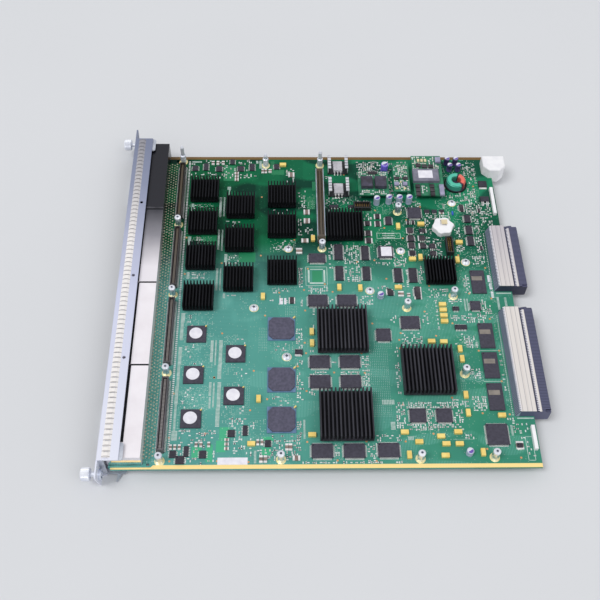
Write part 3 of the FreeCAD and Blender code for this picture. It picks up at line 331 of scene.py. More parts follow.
# What the moulded chips share, and what the black and the grey fins share.
EPOXY = {"roughness": 0.55, "grain": 2600, "depth": 0.012, "gloss": 0.3}
FINS = {"grain": 800, "stretch": (1, 0.1, 1), "gloss": 0.12}
FINISHES = {
    "board": board_finish(),
    # Ground strips bright near and dark far: painted reflection and shade.
    "gold": near_far_painted_light(-0.18, 0.18, ((0.1, (254, 226, 150)), (0.9, (112, 84, 38)))),
    # Faceplate pale near and dark far: painted reflection and shade.
    "faceplate": near_far_painted_light(-0.19, 0.19, ((0.0, (236, 238, 250)), (0.5, (210, 214, 238)),
                                     (0.85, (142, 149, 174)), (1.0, (126, 133, 158))),
                       0.4, 0.3, 500),
    "zinc": finish((168, 174, 186), (206, 210, 220), 0.36, 0.4, 600),
    # Gasket darker toward the far side: painted shade.
    "gasket": far_painted_shade(ribbed((190, 186, 186), (246, 242, 240), "Y", 4.9, depth=0.05,
                                edges=(0.02, 0.16)), 0.04, 0.17, (158, 160, 170)),
    "tin": tin_finish(),
    # Third shield bright near and nearly black far: a painted reflection.
    "tin_painted_reflection": near_far_painted_light(0.002, 0.093, ((0.2, (242, 237, 243)), (0.62, (146, 144, 152)),
                                       (0.98, (58, 58, 66))), 0.25, 0.25),
    # Fourth shield nearly black: a painted dark reflection.
    "dark_tin": near_far_painted_light(0.09, 0.178, ((0.02, (104, 102, 110)), (0.06, (32, 32, 40)),
                                    (0.95, (26, 26, 34))), 0.25, 0.25),
    "black_plastic": finish((24, 24, 27), (38, 38, 42)),
    "steel": finish((196, 204, 220), (232, 236, 246), 0.25, 0.8, 500, 0.015),
    "white_metal": finish((216, 220, 232), (244, 246, 252), 0.3, 0.35, 700, 0.015),
    "black_fins": finish((13, 14, 18), (24, 25, 30), **FINS),
    "grey_fins": finish((44, 44, 50), (64, 64, 71), **FINS),
    "chip": finish((60, 58, 70), (72, 70, 83), **EPOXY),
    "dark_chip": finish((48, 46, 56), (60, 58, 68), **EPOXY),
    "blue_chip": finish((76, 75, 92), (92, 90, 110), **EPOXY),
    "substrate": finish((84, 116, 150), (106, 138, 172), 0.45),
    # Mezzanine housings and blades darker toward the far side: painted shade.
    "brown": far_painted_shade(finish((74, 72, 78), (98, 94, 100)), -0.16, 0.12, (96, 86, 68)),
    "blade": far_painted_shade(ribbed((60, 58, 62), (158, 152, 152), "Y", 1.27, edges=(0.3, 0.8)),
                        -0.16, 0.1, (168, 150, 112)),
    "silver": finish((170, 180, 200), (214, 220, 232), 0.28, 0.75),
    "blue_housing": housing_finish(),
    # Shield plates darker toward the far side: painted shade.
    "cream_plate": far_painted_shade(ribbed((182, 178, 180), (228, 222, 218), "X", 4.2, depth=0.03,
                                     edges=(0.01, 0.08)), -0.02, 0.06, (222, 222, 232)),
    "white_plastic": finish((238, 238, 243), (248, 248, 251), 0.45),
    "yellow": finish((238, 204, 110), (250, 224, 136), 0.42),
    "can": can_finish(),
    "dark_can": finish((58, 48, 92), (98, 86, 146), 0.3, 0.2),
    "laminate": finish((22, 96, 68), (46, 132, 96), 0.45),
    "ferrite": finish((46, 43, 54), (78, 74, 96)),
    "grey_case": finish((104, 104, 120), (130, 130, 146), 0.45),
    "green_wire": ribbed((30, 128, 108), (86, 196, 170), "Z", 0.9, 0.3, 0.2, 0.15),
    "red_wire": ribbed((170, 62, 58), (240, 118, 104), "Z", 0.9, 0.3, 0.2, 0.15),
    "regulator": finish((186, 184, 190), (216, 214, 220), 0.4, 0.3),
    "comb": comb_finish(),
    "solder": finish((206, 212, 212), (240, 243, 242), 0.35, 0.2, 1500, 0.05),
    "lead": finish((216, 216, 218), (246, 245, 243), 0.35, 0.25, 1200),
    "ceramic": finish((110, 92, 86), (158, 140, 132)),
    "resistor": finish((46, 43, 48), (76, 71, 77), gloss=0.3),
    "pad_gold": finish((232, 216, 150), (250, 242, 190), 0.35, 0.35),
    "copper": finish((206, 142, 92), (228, 170, 118), 0.4, 0.3),
    "legend": finish((176, 204, 194), (206, 224, 216), 0.6),
    "paper": finish((226, 225, 236), (242, 241, 249), 0.6, 0.0, 1400, 0.01),
    "strip": finish((124, 118, 112), (146, 138, 130), 0.6),
    "via": finish((142, 146, 120), (222, 216, 190), 0.45, grain=3000),
    "bar": finish((164, 192, 184), (200, 216, 212), 0.45, 0.0, 1500),
    # Near black of painted shade, in the flange gap and in the chips' dimples.
    "painted_shade_black": finish((14, 16, 20), (26, 28, 34), 0.6, gloss=0.2),
    # Painted shade in the screws' sockets and cross recesses.
    "socket": finish((58, 64, 78), (84, 90, 104), gloss=0.2),
    # Pours light near and dark far: painted sheen and shade.
    "pour": near_far_painted_light(-0.17, 0.17, ((0.35, (66, 176, 132)), (0.7, (20, 122, 78)))),
    "violet": finish((84, 60, 150), (120, 92, 190), 0.4),
    "beige": finish((214, 198, 158), (234, 220, 186)),
    "blue": finish((40, 84, 196), (74, 120, 224), 0.4),
    "brass": finish((128, 98, 52), (186, 150, 88), 0.4, 0.2),
    "contact_gold": finish((196, 158, 84), (230, 196, 120), 0.35, 0.4, 1200),
    "lilac": finish((134, 132, 160), (166, 164, 192), 0.45),
    # Green-black of the painted shadow round the toroid's foot.
    "painted_shadow_black": finish((14, 24, 24), (24, 36, 34), gloss=0.2),
}
for finish_name, material in FINISHES.items():
    material.name = finish_name

# The CAD nodes of each finish.
PAINTED = {
    "board": "circuit_board", "gold": "ground_strips", "faceplate": "faceplate",
    "gasket": "emi_gasket", "tin": "port_shield_1 port_shield_2", "tin_painted_reflection": "port_shield_3",
    "dark_tin": "port_shield_4", "zinc": "ejector_brackets ejector_lever_near ejector_lever_far",
    "black_plastic": "pin_headers port_housing_1 port_housing_2 port_housing_3 port_housing_4",
    "steel": "ejector_pins screw_bushings retaining_ring_near retaining_ring_far standoffs "
             "converter_pins",
    "white_metal": "captive_screw_near captive_screw_far standoff_screws guide_posts board_screws",
    "brown": "mezzanine_housings", "blade": "mezzanine_blades stacking_connector",
    "silver": "stacking_shields", "black_fins": "small_heatsinks wide_heatsink",
    "grey_fins": "large_heatsinks", "dark_chip": "cooled_chips outline_chips",
    "chip": "port_chips memory_chips flat_pack_chips", "substrate": "switch_substrates",
    "blue_chip": "switch_chips", "yellow": "tantalum_capacitors", "can": "can_capacitors",
    "dark_can": "dark_capacitors", "laminate": "converter_boards",
    "ferrite": "converter_inductors toroid_core", "grey_case": "transformer",
    "green_wire": "toroid_winding_green", "red_wire": "toroid_winding_red",
    "comb": "regulator_heatsinks", "regulator": "regulators",
    "blue_housing": "backplane_housings", "cream_plate": "backplane_shields",
    "white_plastic": "guide_block round_holder rear_bumpers",
}


def paint_nodes():
    """Gives every node of the frame its finish."""
    for chosen, names in PAINTED.items():
        for name in names.split():
            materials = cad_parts[name].data.materials
            materials.clear()
            materials.append(FINISHES[chosen])


# Small solids.

# How far the spot of a standing part is grown, before anything is set beside it.
MARGIN = 0.35
# Vertices closer than this, in metres, are taken as one.
WELD = 1e-5


def around(x, y, dx, dy):
    """The spot of a size around its middle."""
    return x - dx / 2, y - dy / 2, x + dx / 2, y + dy / 2


def middle(box):
    """The middle of a spot or box."""
    return (box[0] + box[2]) / 2, (box[1] + box[3]) / 2


def inside(box, left, near, right, far):
    """The spot that four insets leave of a spot or box."""
    return box[0] + left, box[1] + near, box[2] - right, box[3] - far


def grown(box):
    """The spot of a box, with a margin round it."""
    return inside(box, -MARGIN, -MARGIN, -MARGIN, -MARGIN)


def is_tall(box):
    """Whether a spot or box is longer along y than along x."""
    return box[3] - box[1] > box[2] - box[0]


def full_turn(sides):
    """The angles of a whole turn in even steps."""
    return [2 * math.pi * i / sides for i in range(sides)]


def arc(x, y, radius, z, angles):
    """The points of a circle at some angles."""
    return [(x + radius * math.cos(a), y + radius * math.sin(a), z) for a in angles]


def linked(name, data):
    """A new object in the scene."""
    made = bpy.data.objects.new(name, data)
    bpy.context.scene.collection.objects.link(made)
    return made


class Solids:
    """Collects many small solids into one mesh."""

    def __init__(self):
        self.points = []
        self.faces = []

    def band(self, low, high, count):
        """Faces between two rings of points, each given by the number of its first point."""
        for i in range(count):
            j = (i + 1) % count
            self.faces.append((low + i, low + j, high + j, high + i))

    def loft(self, *rings):
        """A closed solid through rings of equal length, from the lowest to the highest."""
        start, count = len(self.points), len(rings[0])
        for ring in rings:
            self.points += [place(*point) for point in ring]
        top = start + (len(rings) - 1) * count
        for low in range(start, top, count):
            self.band(low, low + count, count)
        self.faces.append(tuple(range(start + count - 1, start - 1, -1)))
        self.faces.append(tuple(range(top, top + count)))

    def block(self, spot, z0, z1, chamfer=0.1):
        """A box over a spot, with its top edges chamfered."""
        def ring(inset, z):
            x0, y0, x1, y1 = inside(spot, inset, inset, inset, inset)
            return (x0, y0, z), (x1, y0, z), (x1, y1, z), (x0, y1, z)
        edge = min(chamfer, (z1 - z0) / 2, (spot[2] - spot[0]) / 3, (spot[3] - spot[1]) / 3)
        self.loft(ring(0, z0), ring(0, z1 - edge), ring(edge, z1))

    def disc(self, x, y, radius, z0, z1, chamfer=0.05, sides=20):
        """A round plate with its top edge chamfered."""
        rings = (radius, z0), (radius, z1 - chamfer), (radius - chamfer, z1)
        self.loft(*[arc(x, y, r, z, full_turn(sides)) for r, z in rings])

    def half_disc(self, x, y, radius, z0, z1, facing, sides=14):
        """Half of a round plate, on the side that an angle in degrees points to."""
        angles = [math.radians(facing - 90 + 180 * i / sides) for i in range(sides + 1)]
        self.loft(arc(x, y, radius, z0, angles), arc(x, y, radius, z1, angles))

    def washer(self, x, y, outer, inner, z0, z1, sides=32):
        """A flat ring."""
        start = len(self.points)
        for r, z in ((inner, z0), (outer, z0), (outer, z1), (inner, z1)):
            self.points += [place(*point) for point in arc(x, y, r, z, full_turn(sides))]
        for level in range(4):
            self.band(start + level * sides, start + (level + 1) % 4 * sides, sides)

    def lead(self, x, y, out, width, height, reach, gauge=0.15):
        """A gull-wing lead: it leaves a case at (x, y, height) along out, and ends in a foot."""
        half = width / 2
        corners = (-half, gauge), (half, gauge), (half, 0), (-half, 0)
        path = (0, height), (reach * 0.35, height), (reach * 0.5, gauge), (reach, gauge)
        ahead_x, ahead_y = out
        self.loft(*[[(x + ahead_x * far - ahead_y * shift, y + ahead_y * far + ahead_x * shift,
                      z - drop) for shift, drop in corners] for far, z in path])

    def piece(self, name, finish_name, body="card"):
        """The finished piece, which rides on a body of the frame."""
        mesh = bpy.data.meshes.new(name)
        mesh.from_pydata([tuple(p) for p in self.points], [], self.faces)
        mesh.validate()
        mesh.materials.append(FINISHES[finish_name])
        made = linked(name, mesh)
        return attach(made, body)


def boxes_in(mesh):
    """The box of each connected part of a mesh."""
    keys = [tuple(round(c / WELD) for c in v.co) for v in mesh.vertices]
    above = {key: key for key in keys}

    def top(key):
        while above[key] != key:
            above[key] = above[above[key]]
            key = above[key]
        return key

    for face in mesh.polygons:
        first = top(keys[face.vertices[0]])
        for other in face.vertices[1:]:
            above[top(keys[other])] = first
    groups = {}
    for key, vertex in zip(keys, mesh.vertices):
        groups.setdefault(top(key), []).append(board_mm(vertex.co))
    boxes = []
    for points in groups.values():
        low, high = ([limit(p[i] for p in points) for i in range(3)] for limit in (min, max))
        boxes.append((low[0], low[1], high[0], high[1], low[2], high[2]))
    return boxes


def solids_of(*names):
    """The box of each separate solid of some CAD nodes, sorted within each node."""
    return [box for name in names for box in sorted(boxes_in(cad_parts[name].data))]


# Chips' leads, marks and labels.

X_SIDES, Y_SIDES = ("left", "right"), ("near", "far")
# Memories longer than this show no leads, and carry a printed strip with these places on it.
TALL_MEMORY = 20
STRIP_LEFT, STRIP_RIGHT, STRIP_START, STRIP_END = 0.9, 2.6, 14.6, 19.4
# First-pin corners: the size and top of those on chips from LARGE_CHIP up, and on smaller ones.
LARGE_CHIP = 20
LARGE_CORNER, SMALL_CORNER = (1.5, 2.25), (0.8, 1.86)
# The middle of the one flat-pack chip with a sticker, and the radius of the round stickers.
LABELLED_CHIP, STICKER_RADIUS = (243.7, 49.1), 5.9


def leads_on(leads, box, sides, pitch=0.8, reach=1.5, margin=1.0, width=0.42):
    """Rows of leads on the named sides of a case."""
    x0, y0, x1, y1, z0, z1 = box
    rows = {"left": (x0, y0 + margin, x0, y1 - margin, (-1, 0)),
            "right": (x1, y0 + margin, x1, y1 - margin, (1, 0)),
            "near": (x0 + margin, y0, x1 - margin, y0, (0, -1)),
            "far": (x0 + margin, y1, x1 - margin, y1, (0, 1))}
    for side in sides:
        ax, ay, bx, by, out = rows[side]
        count = max(2, int(math.hypot(bx - ax, by - ay) / pitch))
        for i in range(count):
            share = (i + 0.5) / count
            x, y = ax + (bx - ax) * share, ay + (by - ay) * share
            leads.lead(x, y, out, width, (z0 + z1) / 2, reach)


def chip_leads():
    """Tinned leads of every leaded chip."""
    leads = Solids()
    for box in solids_of("memory_chips"):
        if box[3] - box[1] < TALL_MEMORY:
            leads_on(leads, box, X_SIDES + Y_SIDES)
    for box in solids_of("flat_pack_chips"):
        leads_on(leads, box, X_SIDES + Y_SIDES, reach=1.3)
    for box in solids_of("outline_chips"):
        sides = X_SIDES if is_tall(box) else Y_SIDES
        leads_on(leads, box, sides, pitch=1.27, margin=0.5, width=0.7)
    leads.piece("chip_leads", "lead")


def chip_marks():
    """Printed strips on the tall memories, and yellow first-pin corners on the large chips."""
    strips, corners = Solids(), Solids()
    for x0, y0, x1, y1, z0, z1 in solids_of("memory_chips"):
        if y1 - y0 > TALL_MEMORY:
            spot = (x0 + STRIP_LEFT, y0 + STRIP_START, x1 - STRIP_RIGHT, y0 + STRIP_END)
            strips.block(spot, z1, z1 + 0.05, 0.02)
    strips.piece("memory_strips", "strip")
    for box in solids_of("switch_substrates", "port_chips"):
        size, top = LARGE_CORNER if box[2] - box[0] >= LARGE_CHIP else SMALL_CORNER
        x, y = box[2], box[3]
        corners.loft(*[[(x - size - 0.7, y - size, z), (x - size, y - size - 0.7, z),
                        (x + 0.35, y - 0.35, z), (x - 0.35, y + 0.35, z)] for z in (0.02, top)])
    corners.piece("corner_marks", "yellow")


# Blank stickers and broad white prints on the board, as spots.
WHITE_PRINTS = (
    (89.7, -171.3, 114.8, -164.9), (338.8, 14, 341.4, 22), (339.5, 5.5, 342, 12.5),
    (340, -4, 342.4, 3), (141.2, -11, 144.4, -4), (145.6, -11, 147.6, -4),
)


def labels():
    """Blank stickers: round on the port chips, square on a chip, the transformer and the board."""
    stickers = Solids()
    for box in solids_of("port_chips"):
        x, y = middle(box)
        stickers.disc(x - 0.6, y + 0.6, STICKER_RADIUS, box[5], box[5] + 0.08, sides=40)
    case = solids_of("transformer")[0]
    stickers.block(inside(case, 5.4, 3.4, 6.6, 3.0), case[5], case[5] + 0.1)
    for spot in WHITE_PRINTS:
        stickers.block(spot, 0, 0.08)
    box = min(solids_of("flat_pack_chips"), key=lambda b: math.dist(middle(b), LABELLED_CHIP))
    stickers.block(inside(box, 2.6, 1.6, 1.0, 1.2), box[5], box[5] + 0.1)
    stickers.piece("blank_labels", "paper")


# Pads and discrete parts.

# Amber reference dots: x, y.
FIDUCIALS = (
    (49.3, -104.5), (48.2, -146.3), (78.5, -143), (50, -168), (84, -88.9), (116, -121),
    (89.5, -168), (115.5, -169), (89.3, -42.8), (83.8, -88.5), (50.5, 68), (51.5, 24), (86, 36.8),
    (38, 167), (130.5, -110.3), (164.8, -102.5), (164.5, -151), (189.5, -168), (128, -23.5),
    (118.5, -82), (157.3, -77.5), (165, -64), (164, -53), (165, -18), (189.5, -84), (123.3, 45.8),
    (155.7, 65), (168.3, 30), (184, 12), (164.3, 5.2), (141, 2.2), (191, 3), (123.4, 120),
    (214.4, -150.8), (221.8, -168.7), (247.5, -151), (248, -116), (271.7, -144), (226.3, -32.5),
    (251.6, -43), (275.5, -19.5), (283.6, -46), (249.7, -50.3), (249.6, -59.3), (214.7, -64.3),
    (216.6, -84.5), (244.7, 80), (262, 67), (232.5, 40), (215.8, 38), (242.6, 18), (282.5, 9.5),
    (207.5, 150.5), (237, 102.5), (282.5, 107), (267.3, 90), (291.3, -109.6), (316, -124.8),
    (315.5, -158.3), (343, -166.4), (336.8, -93.5), (339.3, -126), (339.5, -4.8), (335, -27.8),
    (300, -32.5), (320.5, -62), (339, -62), (314.2, 46), (338.4, 30.7), (319.4, 0.8),
    (334.5, 99.3), (339.5, 134.5),
)

# Light bars, as spots: rows of soldered parts that are seen as one streak.
BARS = (
    (50.5, -115, 53.5, -97), (51.3, -97, 53.6, -86), (51, -140, 53, -115), (50, -149, 55, -140),
    (79.7, -107, 82, -93), (83.2, -118, 84.8, -93.5), (80, -119, 81.8, -108),
    (87, -118, 90.2, -93), (86.5, -136.5, 90, -118), (51, -31, 54.6, -19), (51.2, -50, 54, -31),
    (51, -75, 54, -57), (51, -90, 53.6, -75), (79.4, -73, 82, -50), (83.4, -76, 84.8, -50),
    (87, -76, 90.2, -50), (86.5, -90, 90, -76), (52.3, 58, 55.2, 72), (53.3, 18.5, 56, 27.5),
    (81, 53, 83, 78), (84.6, 52, 86.2, 78), (81, 5, 83, 31), (84.6, 5, 86, 31),
    (88.2, 34, 91, 53), (88.3, -4, 90.6, 3), (51, 167, 61, 169), (88.5, 130, 92, 134),
    (90, 123, 91.5, 130), (53.3, 102, 55.8, 113), (81, 94, 83.6, 120), (85.2, 95, 86.8, 120),
    (88.3, 88, 91.6, 93), (120, -170, 122, -158.5), (161.5, -148, 163.2, -130),
    (338, -146, 340, -136), (172, -20, 174, -15), (340.3, 12, 342.6, 21),
    (340.3, 6.8, 342.4, 11.5), (340.3, -3, 342.3, 2), (117, 159, 119.4, 170),
    (120.4, 159, 123.2, 170), (190.3, 100, 192.5, 110), (344.4, -17.5, 346.5, -3),
    (351.5, -13.5, 353.6, -3.5), (313.2, -19, 314.8, -5), (315.8, -19, 317.2, -5),
    (230, -116, 241, -111.4), (236, -140, 240, -132.4), (250, -150, 256, -146.4),
)

# Soldered two-end parts that stand out, with light ends and a brown middle: x, y, size in x, in y.
CAPACITORS = (
    (50.2, -155.6, 2.4, 4.8), (53.8, -155.6, 2.4, 4.8), (57.6, -155.6, 2.4, 4.8),
    (71.5, -153.3, 2.4, 4.8), (75.5, -153.3, 2.4, 4.8), (82, -153.3, 2.4, 4.8),
    (97, -149, 4, 2.6), (97, -153, 4, 2.6), (97, -157, 4, 2.6), (72.5, 166, 3, 5),
    (77.5, 166, 3, 5), (83, 166, 3, 5), (97.5, 143, 4, 3.4), (97.5, 147.3, 4, 3.4),
    (97.5, 151.6, 4, 3.4), (123, -151.5, 2.4, 5.6), (126.5, -151.5, 2.4, 5.6),
    (147.4, -156, 2.8, 6.4), (150.5, -156, 3, 6.4), (125.8, -166.8, 3, 6.6),
    (129.5, -166.8, 3, 6.6), (155.3, -166, 6.4, 4.4), (157.5, -64.4, 5.2, 5.6),
    (166, 63.6, 7, 4.6), (153.4, 149.6, 6.4, 6), (168.3, 99.6, 6.2, 6.2), (168.3, 88.4, 6.2, 6),
    (160.2, 50.8, 6, 6.6), (124, 154.8, 2.6, 6), (127.2, 154.8, 2.6, 6), (131.6, 154.8, 3.4, 4.6),
    (343.3, -155.5, 6.4, 7.4), (255, 0, 5.4, 5.8), (262.2, -1.2, 3, 4), (303.2, 98.6, 5, 3),
)

# Dark cases with light ends on both x sides: x, y, size in x, in y.
DIODES = (
    (228.3, 85, 7.4, 5.4), (228.3, 72.6, 7.6, 6.4), (228.3, 63.6, 7.6, 6.4),
    (238.4, 84.6, 6.6, 6.4), (269.6, 76, 7.4, 6.6), (269.6, 66.6, 7.4, 6.4),
    (269.6, 57.6, 7.4, 6.4), (269.6, 47.9, 7.4, 6), (280.3, 66.4, 7.4, 6),
    (280.3, 57.2, 7.4, 6.4), (290.4, 56.8, 6.6, 4.8), (290.4, 47.6, 6.6, 5.4),
    (283.2, 75.8, 5.6, 4.8), (238.6, 94, 7, 6), (244.4, 2.4, 6.6, 6), (270.9, 1, 7.4, 14),
    (152.8, -7.2, 6, 6.8), (268.6, 86.4, 4, 4.6), (273.5, 86.4, 4, 4.6), (341, 101.6, 3.6, 4.4),
    (337.4, 54.2, 4, 4.4), (324, 104.6, 5, 8.6),
)

# Areas crowded with small parts: a spot, the share of its sites filled, the share standing dark.
CROWDS = (
    (241, -139, 250, -113, 0.62, 0.1), (250, -120, 298, -112.5, 0.75, 0.08),
    (267.5, -141, 275.5, -119.5, 0.7, 0.08), (250, -141, 300, -134.5, 0.62, 0.08),
    (290.5, -134, 299.5, -110, 0.62, 0.1), (223, -151, 245, -143, 0.5, 0.2),
    (215, -169.5, 223.5, -152.5, 0.5, 0.1), (187.6, -164, 193.2, -153, 0.5, 0),
    (187.6, -79, 193.2, -67, 0.5, 0), (187.6, -13, 193.2, -1, 0.4, 0),
    (168, -87, 186, -82, 0.7, 0), (195, -87, 212, -82, 0.7, 0),
    (160, -171, 245, -167.6, 0.6, 0.1), (156, -114, 163.5, -84, 0.55, 0.05),
    (156, -150.5, 163.5, -130.5, 0.62, 0.05), (156, -76, 163.5, -66, 0.4, 0.1),
    (156, -61, 163.5, -36, 0.55, 0.05), (161, -14, 164.5, 0, 0.5, 0),
    (166.5, -109, 174.5, -100.5, 0.45, 0.1), (168, -63, 175, -57, 0.5, 0),
    (171.5, -38, 175, -15.5, 0.5, 0), (244, -108, 250, -56, 0.4, 0.05),
    (214.5, -98, 222, -66, 0.42, 0.05), (216, -12, 229, 4, 0.4, 0.05),
    (243, -34, 250.5, -22, 0.55, 0.05), (252, -57, 272, -40.5, 0.5, 0.12),
    (272, -34, 280, -20, 0.45, 0.1), (286, -42, 289, -5, 0.35, 0),
    (309, -32, 333, -20, 0.6, 0.15), (329.5, -27, 338.5, -5, 0.5, 0.15),
    (299, -30, 309, -22.5, 0.8, 0), (299, -11.5, 313, -4, 0.75, 0),
    (308, -59, 321.5, -45, 0.72, 0), (309, -91, 321.5, -79, 0.72, 0),
    (308.5, -123, 321.5, -108, 0.72, 0), (299, -119, 307, -111.5, 0.8, 0),
    (298, -149, 307, -143, 0.8, 0), (315, 1, 321.5, 28, 0.55, 0), (327, 34.5, 341, 47, 0.7, 0),
    (168, 1, 188, 9.5, 0.6, 0.05), (157, 8, 164, 33, 0.6, 0.05), (157, 66, 165, 92, 0.55, 0.05),
    (166, 68, 175, 82, 0.4, 0.1), (163, 103, 169, 123, 0.55, 0.05),
    (188.5, 30, 193.3, 62, 0.5, 0.05), (203.5, 12, 219, 60, 0.42, 0.02),
    (233, 6, 249, 12, 0.5, 0.1), (251, 32, 264, 51, 0.5, 0.12), (233.5, 33.5, 256, 38.5, 0.75, 0),
    (273.5, 12, 280, 33, 0.5, 0.12), (281, -4, 300, 7, 0.35, 0.15),
    (224.5, 90, 233, 99, 0.5, 0.1), (236.5, 56.5, 250, 64, 0.35, 0.1),
    (284.5, 43, 300, 88, 0.4, 0.2), (313, 48, 322, 60, 0.5, 0.2), (313, 68, 321, 88, 0.45, 0.2),
    (333, 49, 341, 98, 0.62, 0.2), (341, 83, 355, 113, 0.5, 0.25),
    (328, 98, 341, 132, 0.55, 0.25), (331, 138, 345, 168, 0.4, 0.3),
    (281, 88, 312, 99, 0.45, 0.1), (221, 118, 276, 170, 0.5, 0.35),
    (277, 120, 311, 136, 0.45, 0.4), (278, 158, 311, 175, 0.55, 0.45),
    (188, 111, 213, 124, 0.3, 0.1), (188, 144, 198, 150, 0.4, 0.1), (132, -12, 156, 0, 0.16, 0.1),
    (132, -168, 160, -144, 0.42, 0.3), (116, -166, 136, -146, 0.35, 0.25),
    (133, 52, 156, 66, 0.28, 0.05), (133, 1, 150, 9, 0.32, 0.1), (135, 97.5, 150, 104, 0.3, 0.1),
    (135, -117.5, 150, -105, 0.25, 0.15), (133, -62, 148, -53, 0.25, 0.1),
    (116, -139, 123, -131, 0.5, 0), (343, -166, 356, -131, 0.22, 0.15),
    (336, -146, 345, -128, 0.3, 0.2), (342, -130, 347, 0, 0.22, 0),
    (300, -60, 309, -40, 0.06, 0.1), (338, -122, 342, -60, 0.2, 0.1),
    (148, 138, 158, 160, 0.3, 0.2), (56.5, -136, 65, -97, 0.12, 0.05),
    (56.5, -90, 66, -19, 0.12, 0.05), (65, -120, 79, -100, 0.1, 0.05),
    (65, -76, 79, -54, 0.1, 0.05), (92, -127, 115, -95, 0.1, 0.05),
    (92, -88, 115, -44, 0.1, 0.05), (56, -171, 89, -138, 0.36, 0.2),
    (98, -162, 116, -127, 0.36, 0.1), (56, 18, 72, 28, 0.25, 0.05), (56, 62, 68, 73, 0.25, 0.05),
    (92, 36, 103, 51, 0.25, 0), (92, -2, 103, 4, 0.25, 0), (93, 122, 104, 132, 0.2, 0),
    (56, 104, 70, 112, 0.25, 0), (50, 145, 118, 171, 0.34, 0.15), (92, 82, 104, 92, 0.25, 0),
    (160, 120, 177, 130, 0.3, 0.05), (303, 88, 313, 112, 0.4, 0.2),
    (254, 100, 284, 116, 0.35, 0.25), (313, 112, 331, 132, 0.4, 0.25),
    (219, 100, 232, 116, 0.3, 0.2), (300, 34, 312, 48, 0.35, 0.1), (251, 8, 268, 30, 0.25, 0.1),
    (194, 64, 214, 74, 0.35, 0.1),
)

# Chips too small for a node of their own, with leads on both x sides or on the near side.
X_CHIPS = (
    (100.5, -143.2, 6, 6.5), (112.2, -140.5, 4, 9.5), (52.5, -162, 5.5, 6.5),
    (63.5, -159.5, 4, 9.5), (77.3, -162.3, 5.8, 6.8), (54.5, 158.5, 5.6, 7), (79, 157.8, 6, 7),
    (101.3, 158, 6, 7), (65.5, 160.5, 4.5, 9.5), (113, 160, 5, 9.5), (92.5, 167.5, 4.5, 6.5),
    (131.5, -152.6, 5, 6.2), (138.3, 160.8, 5, 7),
)
NEAR_CHIPS = (
    (288.6, 100.6, 5, 4), (296, 100.6, 5, 4), (303.4, 100.6, 5, 4), (195.6, 107.2, 9, 3.4),
    (212.4, 107.2, 5.4, 3.4),
)

# Copper pours under the mask, as spots.
POURS = (
    (90.5, -149, 99, -137), (88, -160, 96, -149.4), (80, -169, 85.5, -153), (68, -165, 76, -155),
    (102, 38, 118, 50), (65, 63, 80, 72), (84, 142, 96, 163), (126, -163, 134, -156),
    (127, -150, 136, -146), (133, 150.5, 146, 157), (132, 157, 136, 169), (169, 104, 177, 120),
    (174.5, 128.5, 178.2, 141), (172.4, 14.5, 181.6, 27.6),
)

# Nodes that stand on the board, which the small parts keep clear of.
STANDING = """small_heatsinks wide_heatsink large_heatsinks port_chips switch_substrates
    memory_chips flat_pack_chips outline_chips tantalum_capacitors can_capacitors dark_capacitors
    converter_boards transformer toroid_core regulator_heatsinks regulators backplane_housings
    guide_block round_holder pin_headers rear_bumpers standoffs guide_posts board_screws
    mezzanine_housings stacking_connector stacking_shields converter_inductors"""

# Crowds: the pitch of their sites, how far a part strays, its size, and the share of brown ones.
CROWD_PITCH, CROWD_DRIFT = 2.1, 0.25
PART_LENGTH, PART_WIDTH = 1.9, 1.0
BROWN_SHARE = 0.3
# How far a part's middle lies inside its ends.
WAIST = 0.06
SMALL_CHIP_TOP = 1.4
BAR_PITCH = 1.3


def occupied():
    """The grown spots of what stands on the board."""
    return [grown(box) for box in solids_of(*STANDING.split())]


def is_free(boxes, spot):
    """Whether a spot stays clear of every box."""
    x0, y0, x1, y1 = spot
    return all(x1 <= b[0] or x0 >= b[2] or y1 <= b[1] or y0 >= b[3] for b in boxes)


def grid(x0, y0, x1, y1, pitch):
    """The middles of the cells of a square grid over a spot, row by row from the near side."""
    for row in range(int((y1 - y0) / pitch)):
        for column in range(int((x1 - x0) / pitch)):
            yield x0 + (column + 0.5) * pitch, y0 + (row + 0.5) * pitch


class Parts:
    """Two-end parts in four kinds of solids: ends, dark middles, brown middles and bare pads."""

    def __init__(self, seat=0.0):
        self.seat = seat
        self.ends, self.dark, self.brown, self.pads = Solids(), Solids(), Solids(), Solids()

    def block(self, solids, spot, height, chamfer=0.15):
        """A box that stands on the seat."""
        solids.block(spot, self.seat, self.seat + height, chamfer)

    def two_ends(self, x, y, dx, dy, height, core, end_share=0.28):
        """A part with light ends across its longer side, and a darker core between them."""
        x0, y0, x1, y1 = around(x, y, dx, dy)
        if dx >= dy:
            end = dx * end_share
            ends = (x0, y0, x0 + end, y1), (x1 - end, y0, x1, y1)
            between = (x0 + end, y0 + WAIST, x1 - end, y1 - WAIST)
        else:
            end = dy * end_share
            ends = (x0, y0, x1, y0 + end), (x0, y1 - end, x1, y1)
            between = (x0 + WAIST, y0 + end, x1 - WAIST, y1 - end)
        for spot in ends:
            self.block(self.ends, spot, height)
        self.block(core, between, height - WAIST)

    def pieces(self, *named):
        """Makes the four pieces, with a name and a finish for each."""
        kinds = (self.ends, self.dark, self.brown, self.pads)
        for solids, (name, finish_name) in zip(kinds, named):
            solids.piece(name, finish_name)


